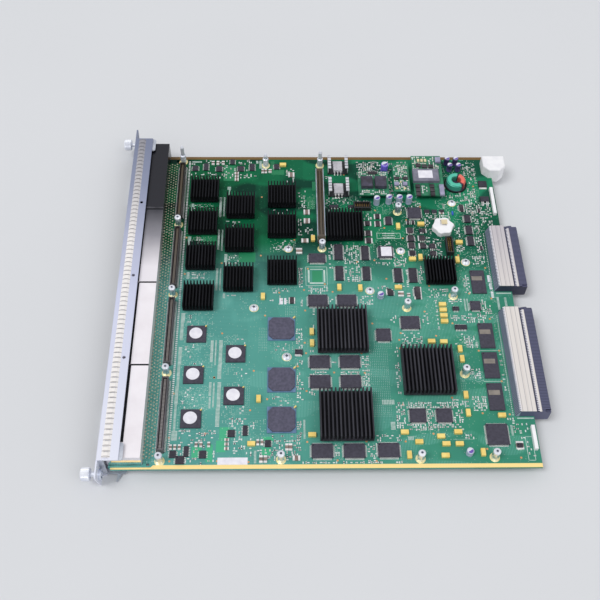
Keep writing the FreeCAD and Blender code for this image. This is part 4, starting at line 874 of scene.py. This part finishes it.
def fill_crowd(parts, boxes, area, chance):
    """Small parts on a loose grid over one crowded area, clear of everything larger."""
    *spot, filled, dark = area
    for x, y in grid(*spot, CROWD_PITCH):
        turned, taken, tone = chance.random() < 0.5, chance.random() < filled, chance.random()
        x += chance.uniform(-CROWD_DRIFT, CROWD_DRIFT)
        y += chance.uniform(-CROWD_DRIFT, CROWD_DRIFT)
        dx, dy = (PART_WIDTH, PART_LENGTH) if turned else (PART_LENGTH, PART_WIDTH)
        site = around(x, y, dx, dy)
        if not taken or not is_free(boxes, site):
            continue
        boxes.append(site)
        if tone < dark:
            parts.two_ends(x, y, dx * 1.05, dy * 1.15, 0.8, parts.dark)
        elif tone < dark + BROWN_SHARE:
            parts.two_ends(x, y, dx, dy, 0.6, parts.brown, 0.36)
        else:
            parts.block(parts.pads, site, 0.35)


def diode(parts, x, y, dx, dy):
    """A dark case that stands higher than its two light ends."""
    end = dx * 0.2
    for side in (-1, 1):
        parts.ends.block(around(x + side * (dx - end) / 2, y, end, dy), 0, 0.9, 0.2)
    parts.dark.block(inside(around(x, y, dx, dy), end, 0, end, 0), 0, 1.9, 0.25)


def small_chips(boxes):
    """The smallest chips with their leads."""
    cases, leads = Solids(), Solids()
    for chips, sides in ((X_CHIPS, X_SIDES), (NEAR_CHIPS, ("near",))):
        for size in chips:
            spot = around(*size)
            cases.block(spot, 0, SMALL_CHIP_TOP, 0.2)
            boxes.append(inside(spot, -2, -1, -2, -1))
            leads_on(leads, (*spot, 0, SMALL_CHIP_TOP), sides, pitch=1.27, reach=1.2, margin=0.4,
                     width=0.6)
    cases.piece("small_chips", "dark_chip")
    leads.piece("small_chip_leads", "lead")


def pad_rows(boxes):
    """The rows of pads that read as light bars."""
    rows = Solids()
    for bar in BARS:
        x0, y0, x1, y1 = bar
        tall = is_tall(bar)
        length = y1 - y0 if tall else x1 - x0
        count = max(2, round(length / BAR_PITCH))
        for i in range(count):
            a, b = length * i / count, length * (i + 0.7) / count
            spot = (x0, y0 + a, x1, y0 + b) if tall else (x0 + a, y0, x0 + b, y1)
            if is_free(boxes, spot):
                rows.block(spot, 0, 0.25)
                boxes.append(spot)
    return rows


def discrete_parts():
    """Everything soldered to the board that has no node of its own."""
    chance = random.Random(7)
    boxes, parts = occupied(), Parts()
    for size in CAPACITORS:
        parts.two_ends(*size, 1.4, parts.brown)
        boxes.append(around(*size))
    for size in DIODES:
        diode(parts, *size)
        boxes.append(around(*size))
    small_chips(boxes)
    rows = pad_rows(boxes)
    for area in CROWDS:
        fill_crowd(parts, boxes, area, chance)
    rows.piece("pad_rows", "bar")
    parts.pieces(("part_ends", "lead"), ("dark_parts", "resistor"),
                 ("ceramic_parts", "ceramic"), ("solder_pads", "solder"))


# Tops of the converter boards: cases as x, y, size in x, in y, height, and crowded areas.
CONVERTER_DARK = (
    (260.5, 139.1, 5.4, 3.2, 1.4), (269.4, 139.1, 5.4, 3.2, 1.4), (281.2, 117.4, 4.4, 4.4, 1.8),
    (281.2, 122.8, 4.4, 4.4, 1.8), (281.2, 128.2, 4.4, 4.4, 1.8), (295.5, 117.4, 4.4, 4.4, 1.8),
    (295.5, 122.8, 4.4, 4.4, 1.8), (295.5, 128.2, 4.4, 4.4, 1.8), (284, 156.6, 5, 4.2, 1.6),
    (290.4, 155.4, 5, 4.2, 1.6), (296.8, 155.4, 5, 4.2, 1.6), (236.1, 146.2, 9, 3, 1.6),
)
CONVERTER_LILAC = (
    (259.9, 131.4, 4.6, 4.6, 1.6), (268.5, 131.4, 4.6, 4.6, 1.6), (304.6, 163.4, 5.4, 6.6, 3),
    (305, 122.6, 4.6, 14, 2.4),
)
CONVERTER_CREAM = (
    (259.9, 125.6, 2.6, 1.8, 0.9), (268, 125.6, 2.6, 1.8, 0.9), (284.6, 163.8, 2.4, 3.6, 1.2),
    (288.2, 163.8, 2.4, 3.6, 1.2), (291.8, 163.8, 2.4, 3.6, 1.2), (264.4, 134.4, 1.6, 1.8, 0.8),
)
CONVERTER_CROWDS = (
    (221.5, 140, 251, 148.5, 0.75, 0.2), (222, 117.6, 251, 124, 0.7, 0.2),
    (257.6, 122.6, 273.2, 159, 0.7, 0.2), (278, 150.5, 307, 169.6, 0.6, 0.25),
    (284.6, 117, 292.4, 131, 0.4, 0), (222, 150, 250, 158, 0.6, 0.2),
)


def converter_parts():
    """What is soldered on the raised converter boards."""
    chance = random.Random(11)
    parts, cases = Parts(max(box[5] for box in solids_of("converter_boards"))), Solids()
    boxes = [grown(box)
             for box in solids_of("converter_inductors", "transformer", "can_capacitors")]
    for group, solids in ((CONVERTER_DARK, parts.dark), (CONVERTER_LILAC, cases),
                          (CONVERTER_CREAM, parts.brown)):
        for *size, height in group:
            spot = around(*size)
            if is_free(boxes, spot):
                parts.block(solids, spot, height)
                boxes.append(spot)
    for area in CONVERTER_CROWDS:
        fill_crowd(parts, boxes, area, chance)
    cases.piece("converter_cases", "lilac")
    parts.pieces(("converter_part_ends", "lead"), ("converter_dark_parts", "resistor"),
                 ("converter_ceramics", "beige"), ("converter_pads", "solder"))


def can_tops():
    """Bare aluminium tops of the cans, each with its violet polarity half."""
    tops, marks = Solids(), Solids()
    for box in solids_of("can_capacitors", "dark_capacitors"):
        x, y = middle(box)
        radius, top = (box[2] - box[0]) / 2, box[5]
        tops.disc(x, y, radius * 0.86, top, top + 0.06, 0.03)
        marks.half_disc(x, y, radius * 0.8, top + 0.06, top + 0.1, -60)
    tops.piece("can_tops", "white_metal")
    marks.piece("can_marks", "violet")


HEADER_PITCH = 2.0


def header_pins():
    """Two rows of square pins in each black header."""
    pins = Solids()
    for box in solids_of("pin_headers"):
        tall = is_tall(box)
        low, high = (box[1], box[3]) if tall else (box[0], box[2])
        length = high - low - 2 * HEADER_PITCH
        count = int(length / HEADER_PITCH) + 1
        across = middle(box)[0 if tall else 1]
        for i in range(count):
            far = low + HEADER_PITCH + length * i / (count - 1)
            for side in (across - 1, across + 1):
                x, y = (side, far) if tall else (far, side)
                pins.block(around(x, y, 0.6, 0.6), 1.4, box[5] - 0.4, 0.15)
    pins.piece("header_pins", "brass")


TOOTH_PITCH = 1.7


def plate_teeth():
    """Fine teeth along the front edge of each shield plate of the backplane connectors."""
    teeth = Solids()
    for x0, y0, x1, y1, z0, z1 in solids_of("backplane_shields"):
        for i in range(int((y1 - y0) / TOOTH_PITCH)):
            y = y0 + (i + 0.25) * TOOTH_PITCH
            teeth.block((x0 - 1.3, y, x0 + 0.5, y + TOOTH_PITCH / 2), z1, z1 + 0.15, 0.05)
    teeth.piece("plate_teeth", "paper")


# Contact wires in the ports. Each row of ports has the height of the side that carries them, and
# the way they rise from it.
PORT_PITCH, PORT_COLUMNS = 13.97, 6
PORT_ROWS = ((4.0, 1), (0.4, -1))
WIRES, WIRE_PITCH, WIRE_WIDTH, WIRE_GAUGE = 8, 1.02, 0.44, 0.25
WIRE_FRONT, WIRE_REAR, WIRE_RISE = -4.8, 6.9, 4.2


def port_wires():
    """Eight sprung contact wires in every port."""
    wires = Solids()
    for number in range(1, 5):
        centre = middle(solids_of(f"port_housing_{number}")[0])[1]
        for column in range(PORT_COLUMNS):
            port = centre + (column - (PORT_COLUMNS - 1) / 2) * PORT_PITCH
            for base, way in PORT_ROWS:
                for wire in range(WIRES):
                    y = port + (wire - (WIRES - 1) / 2) * WIRE_PITCH
                    low, high = y - WIRE_WIDTH / 2, y + WIRE_WIDTH / 2
                    ends = (WIRE_FRONT, base), (WIRE_REAR, base + way * WIRE_RISE)
                    wires.loft(*[[(x, low, z), (x, high, z), (x, high, z + way * WIRE_GAUGE),
                                  (x, low, z + way * WIRE_GAUGE)] for x, z in ends])
    wires.piece("port_wires", "contact_gold")


# Mating slot of the backplane connectors: its depth from the rear face, and its rows' heights.
SLOT_DEPTH, SLOT_MARGIN = 8.0, 6.0
SLOT_ROWS = (-0.8, 1.2, 3.2, 5.2)
TIP_PITCH, TIP_WIDTH, TIP_LENGTH = 2.0, 0.7, 4.0


def slot_contacts():
    """Rows of contact tips on the floor of each backplane slot."""
    tips = Solids()
    for x0, y0, x1, y1, z0, z1 in solids_of("backplane_housings"):
        floor = x1 - SLOT_DEPTH
        for i in range(int((y1 - y0 - 2 * SLOT_MARGIN) / TIP_PITCH) + 1):
            y = y0 + SLOT_MARGIN + i * TIP_PITCH
            spot = (floor, y - TIP_WIDTH / 2, floor + TIP_LENGTH, y + TIP_WIDTH / 2)
            for z in SLOT_ROWS:
                tips.block(spot, z - TIP_WIDTH / 2, z + TIP_WIDTH / 2)
    tips.piece("slot_contacts", "contact_gold")


def first_pin_dimples():
    """A small dark disc of painted shade for the dimple at one corner of the memories, flat packs
    and outline chips.
    """
    dimples = Solids()
    for box in solids_of("memory_chips", "flat_pack_chips", "outline_chips"):
        dimples.disc(box[0] + 1.4, box[3] - 1.4, 0.55, box[5], box[5] + 0.03, 0.01, 14)
    dimples.piece("first_pin_dimples", "painted_shade_black")


# Two power chips at the rear edge: the first has a tab along its near side, the second two pairs
# of leads.
TABBED_CHIP, TAB = (344.8, 132.6, 353.2, 140.4), (345.2, 130.6, 352.8, 132.6)
LEADED_CHIP, LEADED_CHIP_LEADS = (344.2, 113, 353, 119.4), (346.2, 351)
# Regulators longer than this along y show three leads at their near side.
LONG_REGULATOR = 7


def power_parts():
    """Two power chips at the rear edge, the regulators' leads, and a dark ring of painted shadow
    round the toroid's foot.
    """
    cases, metal, base = Solids(), Solids(), Solids()
    for box in solids_of("regulators"):
        if box[3] - box[1] > LONG_REGULATOR:
            for shift in (-3.2, 0.0, 3.2):
                metal.lead(middle(box)[0] + shift, box[1], (0, -1), 1.1, 2.2, 3.6, 0.5)
    for spot in (TABBED_CHIP, LEADED_CHIP):
        cases.block(spot, 0, 2.3, 0.3)
    metal.block(TAB, 0, 0.8, 0.2)
    for x in LEADED_CHIP_LEADS:
        for shift in (-0.7, 0.7):
            metal.lead(x + shift, LEADED_CHIP[1], (0, -1), 0.8, 1.4, 4.6, 0.3)
    cases.piece("power_chips", "dark_chip")
    metal.piece("power_tabs", "lead")
    # A dark ring of painted shadow round the foot of the toroid.
    core = solids_of("toroid_core")[0]
    radius = (core[2] - core[0]) / 2
    base.washer(*middle(core), radius + 1.6, radius + 0.3, 0, 1, sides=40)
    base.piece("toroid_foot_shadow", "painted_shadow_black")


BLUE_PART = (313.4, 96, 315, 100.6)


def holder_parts():
    """The beige pad on the round holder and the blue part beside it."""
    pad, blue = Solids(), Solids()
    holder = solids_of("round_holder")[0]
    x, y = middle(holder)
    pad.block((x - 1.4, y + 1.4, x + 4.4, y + 7.0), holder[5], holder[5] + 0.5, 0.2)
    blue.block(BLUE_PART, 0, 1.6, 0.3)
    pad.piece("holder_pad", "beige")
    blue.piece("blue_part", "blue")


# Columns of vias behind the port blocks: x, and how far each is shifted along y.
VIA_COLUMNS = ((28.4, 0), (30.6, 1.5), (33.2, 0.4), (35.6, 2.1))
VIA_START, VIA_PITCH, VIA_COUNT = -165, 3.45, 96
# Fields of fine vias between the large heatsinks and beside the port chips, as spots.
DOT_FIELDS = (
    (218, -128, 240, -60), (226, -60, 244, -40), (166, -58, 190, -50), (192, -42, 210, -34),
    (122, -62, 131, -36), (44, -30, 50, 60), (104, -126, 116, -96), (146, -30, 158, -12),
    (300, -110, 306, -60), (212, -148, 222, -130),
)
DOT_PITCH = 1.7
# The column of pads behind those vias, and three short rows of pads on the board.
PAD_START, PAD_PITCH, PAD_COUNT = -158, 2.05, 160
ROW_START, ROW_PITCH, ROW_COUNT, ROWS = 242.4, 1.35, 9, (67.6, 70.2, 72.8)
# The pads in front of the backplane connectors.
TAIL_PITCH = 2.0
# Where the mezzanine connectors' leads leave their housings.
LEAD_HEIGHT = 1.2


def via_fields(boxes):
    """Vias behind the port blocks, and fine ones in fields."""
    vias, dots = Solids(), Solids()
    for x, shift in VIA_COLUMNS:
        for i in range(VIA_COUNT):
            y = VIA_START + i * VIA_PITCH + shift
            if is_free(boxes, around(x, y, 1.6, 1.6)):
                vias.disc(x, y, 0.72, 0, 0.1, 0.04, 10)
    for field in DOT_FIELDS:
        for x, y in grid(*field, DOT_PITCH):
            if is_free(boxes, around(x, y, 0.6, 0.6)):
                dots.disc(x, y, 0.27, 0, 0.05, 0.02, 6)
    vias.piece("via_field", "via")
    dots.piece("trace_vias", "bar")


def edge_pads():
    """Rows of pads on the board, and the leads of the mezzanine connectors."""
    pads, leads = Solids(), Solids()
    boxes = occupied()
    via_fields(boxes)
    for i in range(PAD_COUNT):
        y = PAD_START + i * PAD_PITCH
        if is_free(boxes, (47.5, y - 0.6, 49.5, y + 0.6)):
            pads.block((47.6, y - 0.55, 49.4, y + 0.55), 0, 0.35, 0.12)
    for box in solids_of("mezzanine_housings"):
        leads_on(leads, (*box[:4], 0, 2 * LEAD_HEIGHT), ("right", "left"), pitch=1.27, reach=1.6,
                 width=0.6)
    for box in solids_of("backplane_housings"):
        x = box[0] - 1.6
        for i in range(int((box[3] - box[1]) / TAIL_PITCH) - 1):
            y = box[1] + 1.5 + i * TAIL_PITCH
            if is_free(boxes, (x, y, x + 0.8, y + 0.8)):
                pads.block(around(x, y, 0.8, 0.9), 0, 0.12, 0.05)
    for y in ROWS:
        for i in range(ROW_COUNT):
            x = ROW_START + i * ROW_PITCH
            pads.block((x, y - 0.5, x + 0.8, y + 0.5), 0, 0.12, 0.05)
    pads.piece("edge_pads", "solder")
    leads.piece("connector_leads", "lead")


def foot_rings():
    """Gold rings under the standoffs, posts and screws, and the amber reference dots."""
    rings, dots = Solids(), Solids()
    for box in solids_of("standoffs", "guide_posts"):
        rings.washer(*middle(box), outer=4.3, inner=2.0, z0=0, z1=0.06)
    for box in solids_of("board_screws"):
        rings.washer(*middle(box), outer=4.4, inner=1.8, z0=0, z1=0.06)
    for x, y in FIDUCIALS:
        dots.disc(x, y, 0.95, 0, 0.05, 0.02, 16)
    rings.piece("foot_rings", "pad_gold")
    dots.piece("reference_dots", "copper")


def screw_recess_shade():
    """Dark discs of painted shade for the sockets in the posts' heads, and dark crosses of painted
    shade for the recesses in the board screws.
    """
    dark = Solids()
    for box in solids_of("standoff_screws"):
        dark.disc(*middle(box), 0.9, box[5], box[5] + 0.05, 0.02, 6)
    arm, half = 1.5, 0.35
    for box in solids_of("board_screws"):
        x, y = middle(box)
        for spot in ((x - arm, y - half, x + arm, y + half),
                     (x - half, y - arm, x + half, y - half),
                     (x - half, y + half, x + half, y + arm)):
            dark.block(spot, box[5], box[5] + 0.05, 0.02)
    dark.piece("screw_recess_shade", "socket")


# The painted shade in the gap between flange and shield: where it starts, and its reach beside
# each block.
GAP_FRONT = 7.0
GAP_REACH = {"port_shield_1": 12.9, "port_shield_2": 12.3, "port_shield_3": 11.7}
# The gap starts this far from the near end of the first block.
FIRST_GAP_START = 14.0


def flange_gap():
    """A dark strip of painted shade on the shields, which shows between the flange and the shields
    and at their far ends.
    """
    strip = Solids()
    for name, reach in GAP_REACH.items():
        points = [board_mm(vertex.co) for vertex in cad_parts[name].data.vertices]
        top = max(point.z for point in points)
        roof = [point for point in points if point.z > top - 0.5]
        near, far = min(point.y for point in roof), max(point.y for point in roof)
        rear = max(point.x for point in roof)
        start = near + FIRST_GAP_START if name == "port_shield_1" else near
        for spot in ((GAP_FRONT, start, reach, far), (reach, far - 0.3, rear, far + 1.3)):
            strip.block(spot, top, top + 0.15)
    strip.piece("flange_gap", "painted_shade_black")


# Areas with short printed ticks: a spot and the share of its sites filled.
TICK_AREAS = (
    (54, -140, 80, -96, 0.32), (54, -90, 82, -18, 0.3), (60, -120, 80, -98, 0.2),
    (91, -128, 104, -92, 0.4), (91, -86, 104, -44, 0.36), (104, -120, 116, -60, 0.14),
    (133, -122, 156, -104, 0.2), (133, -66, 156, -50, 0.18), (148, -104, 160, -40, 0.25),
    (92, -150, 130, -128, 0.2), (50, 18, 76, 30, 0.4), (50, 60, 76, 74, 0.4),
    (88, 34, 106, 52, 0.4), (132, 50, 158, 68, 0.3), (134, 2, 158, 12, 0.3),
    (50, 104, 76, 112, 0.4), (302, -60, 322, -44, 0.4), (302, -96, 322, -80, 0.4),
    (216, -100, 224, -60, 0.4), (338, -126, 343, -20, 0.3), (236, 66, 262, 80, 0.2),
    (186, -168, 196, -148, 0.4), (246, -150, 300, -140, 0.25), (104, -20, 130, 0, 0.1),
    (216, 97, 283, 120, 0.36), (283, 118, 345, 174, 0.3), (298, 62, 345, 118, 0.36),
    (232, 40, 300, 66, 0.2), (160, 104, 222, 124, 0.3), (262, 66, 298, 100, 0.22),
    (196, 24, 232, 96, 0.16), (306, 14, 345, 62, 0.2), (323, -10, 345, 14, 0.2),
    (276, -34, 300, 4, 0.16), (26.6, -170, 38, 82, 0.3),
)
TICK_PITCH, TICK_WIDTH = 1.4, 0.32
# Printed outlines, as spots; those thinner than OUTLINE_THIN are filled.
OUTLINES = (
    (166, 10, 186.6, 32.4), (349, -169, 355.2, -147), (236.6, 66.4, 260, 73.6),
    (321, -93.8, 338, -93.4), (321, -62.2, 339, -61.8), (345, 0.4, 359, 1.6),
    (345, -130.4, 359.4, -129.2), (288, -149.4, 306, -149.2),
)
OUTLINE_WIDTH, OUTLINE_THIN = 0.45, 2
# Bars printed in a square on the board.
SQUARE_BARS = ((168.2, 14, 169.8, 28.4), (183, 14, 184.6, 28.4), (169.8, 12.4, 182.8, 13.8),
               (170.4, 28.8, 182.6, 29.6))
INK = 0.04


def printed_ticks(lines, boxes, area, chance):
    """Short printed dashes on a loose grid over one area, clear of everything larger."""
    *spot, filled = area
    for x, y in grid(*spot, TICK_PITCH):
        taken, turned = chance.random() < filled, chance.random() < 0.4
        length = chance.uniform(0.6, 1.2)
        dx, dy = (TICK_WIDTH, length) if turned else (length, TICK_WIDTH)
        tick = around(x, y, dx, dy)
        if taken and is_free(boxes, tick):
            lines.block(tick, 0, INK, 0.01)


def legends_and_pours():
    """Copper pours under the mask, and what is printed on it."""
    pours, lines = Solids(), Solids()
    for spot in POURS:
        pours.block(spot, 0, 0.03, 0.01)
    w = OUTLINE_WIDTH
    for x0, y0, x1, y1 in OUTLINES:
        spots = ((x0, y0, x1, y0 + w), (x0, y1 - w, x1, y1),
                 (x0, y0, x0 + w, y1), (x1 - w, y0, x1, y1))
        if min(x1 - x0, y1 - y0) < OUTLINE_THIN:
            spots = ((x0, y0, x1, y1),)
        for spot in spots:
            lines.block(spot, 0, INK, 0.01)
    for spot in SQUARE_BARS:
        lines.block(spot, 0, 0.06, 0.01)
    chance, boxes = random.Random(5), occupied()
    for area in TICK_AREAS:
        printed_ticks(lines, boxes, area, chance)
    pours.piece("copper_pours", "pour")
    lines.piece("printed_outlines", "legend")


# Camera, light and floor.

CAMERA_PLACE = Vector((-32.603, -486.403, 703.756)) * MM
CAMERA_YAW, CAMERA_FALL, CAMERA_ROLL = 2.027, 55.458, 1.552
CAMERA_LENS, CAMERA_SENSOR = 54.063, 36.0
FLOOR_HALF, FLOOR_DROP = 3.0, 0.0002


def add_camera():
    """The photograph's own view of the card."""
    yaw, fall, roll = (math.radians(a) for a in (CAMERA_YAW, CAMERA_FALL, CAMERA_ROLL))
    level = math.cos(fall)
    forward = Vector((math.sin(yaw) * level, math.cos(yaw) * level, -math.sin(fall)))
    right = Vector((math.cos(yaw), -math.sin(yaw), 0))
    up = right.cross(forward)
    across = math.cos(roll) * right + math.sin(roll) * up
    upward = math.cos(roll) * up - math.sin(roll) * right
    data = bpy.data.cameras.new("camera")
    data.sensor_width, data.lens = CAMERA_SENSOR, CAMERA_LENS
    data.clip_start, data.clip_end = 0.01, 20.0
    made = linked("camera", data)
    turn = Matrix((across, upward, -forward)).transposed()
    made.matrix_world = Matrix.Translation(CAMERA_PLACE) @ turn.to_4x4()
    bpy.context.scene.camera = made


def add_sun(name, azimuth, elevation, strength, spread):
    """A distant soft lamp from one direction, in degrees."""
    data = bpy.data.lights.new(name, "SUN")
    data.energy, data.angle = strength, math.radians(spread)
    made = linked(name, data)
    turn, rise = math.radians(azimuth), math.radians(elevation)
    level = math.cos(rise)
    source = Vector((math.cos(turn) * level, math.sin(turn) * level, math.sin(rise)))
    made.rotation_mode = "QUATERNION"
    made.rotation_quaternion = source.to_track_quat("Z", "Y")


def camera_and_gloss(tree):
    """1 for rays from the camera, a mirror or through glass, else 0."""
    path = tree.nodes.new("ShaderNodeLightPath")
    value = path.outputs["Is Camera Ray"]
    for other in ("Is Glossy Ray", "Is Transmission Ray"):
        value = maths(tree, "MAXIMUM", value, path.outputs[other])
    return value


def add_world(strength):
    """Even soft light from all round, with a pale backdrop where it is seen."""
    world = bpy.data.worlds.new("studio")
    bpy.context.scene.world = world
    world.use_nodes = True
    tree = world.node_tree
    tree.nodes.clear()
    light = node(tree, "ShaderNodeBackground", Color=WHITE, Strength=strength)
    seen = node(tree, "ShaderNodeBackground", Color=(226, 228, 232), Strength=1.0)
    both = node(tree, "ShaderNodeMixShader", Fac=camera_and_gloss(tree))
    put(tree, light.outputs[0], both.inputs[1])
    put(tree, seen.outputs[0], both.inputs[2])
    node(tree, "ShaderNodeOutputWorld", Surface=both.outputs[0])


def add_floor():
    """A plain pale floor just under the card."""
    mesh = bpy.data.meshes.new("floor")
    half, z = FLOOR_HALF, cad_box[0].z - FLOOR_DROP
    corners = [(-half, -half, z), (half, -half, z), (half, half, z), (-half, half, z)]
    mesh.from_pydata(corners, [], [(0, 1, 2, 3)])
    made, tree = shader(0.8, 0.0)
    made.name = "floor"
    colour = ramp(tree, noise(tree, 3.0), (0.3, (216, 218, 222)), (0.7, (218, 220, 224)))
    put(tree, colour, main_input(tree, "Base Color"))
    mesh.materials.append(made)
    floor = linked("floor", mesh)


paint_nodes()
chip_leads()
chip_marks()
labels()
discrete_parts()
converter_parts()
can_tops()
header_pins()
plate_teeth()
port_wires()
slot_contacts()
first_pin_dimples()
power_parts()
holder_parts()
edge_pads()
foot_rings()
screw_recess_shade()
flange_gap()
legends_and_pours()
add_camera()
add_sun("key_lamp", azimuth=205, elevation=60, strength=1.15, spread=25)
add_sun("fill_lamp", azimuth=-40, elevation=50, strength=0.5, spread=40)
add_world(strength=0.56)
add_floor()
bpy.context.scene.view_settings.view_transform = "Standard"
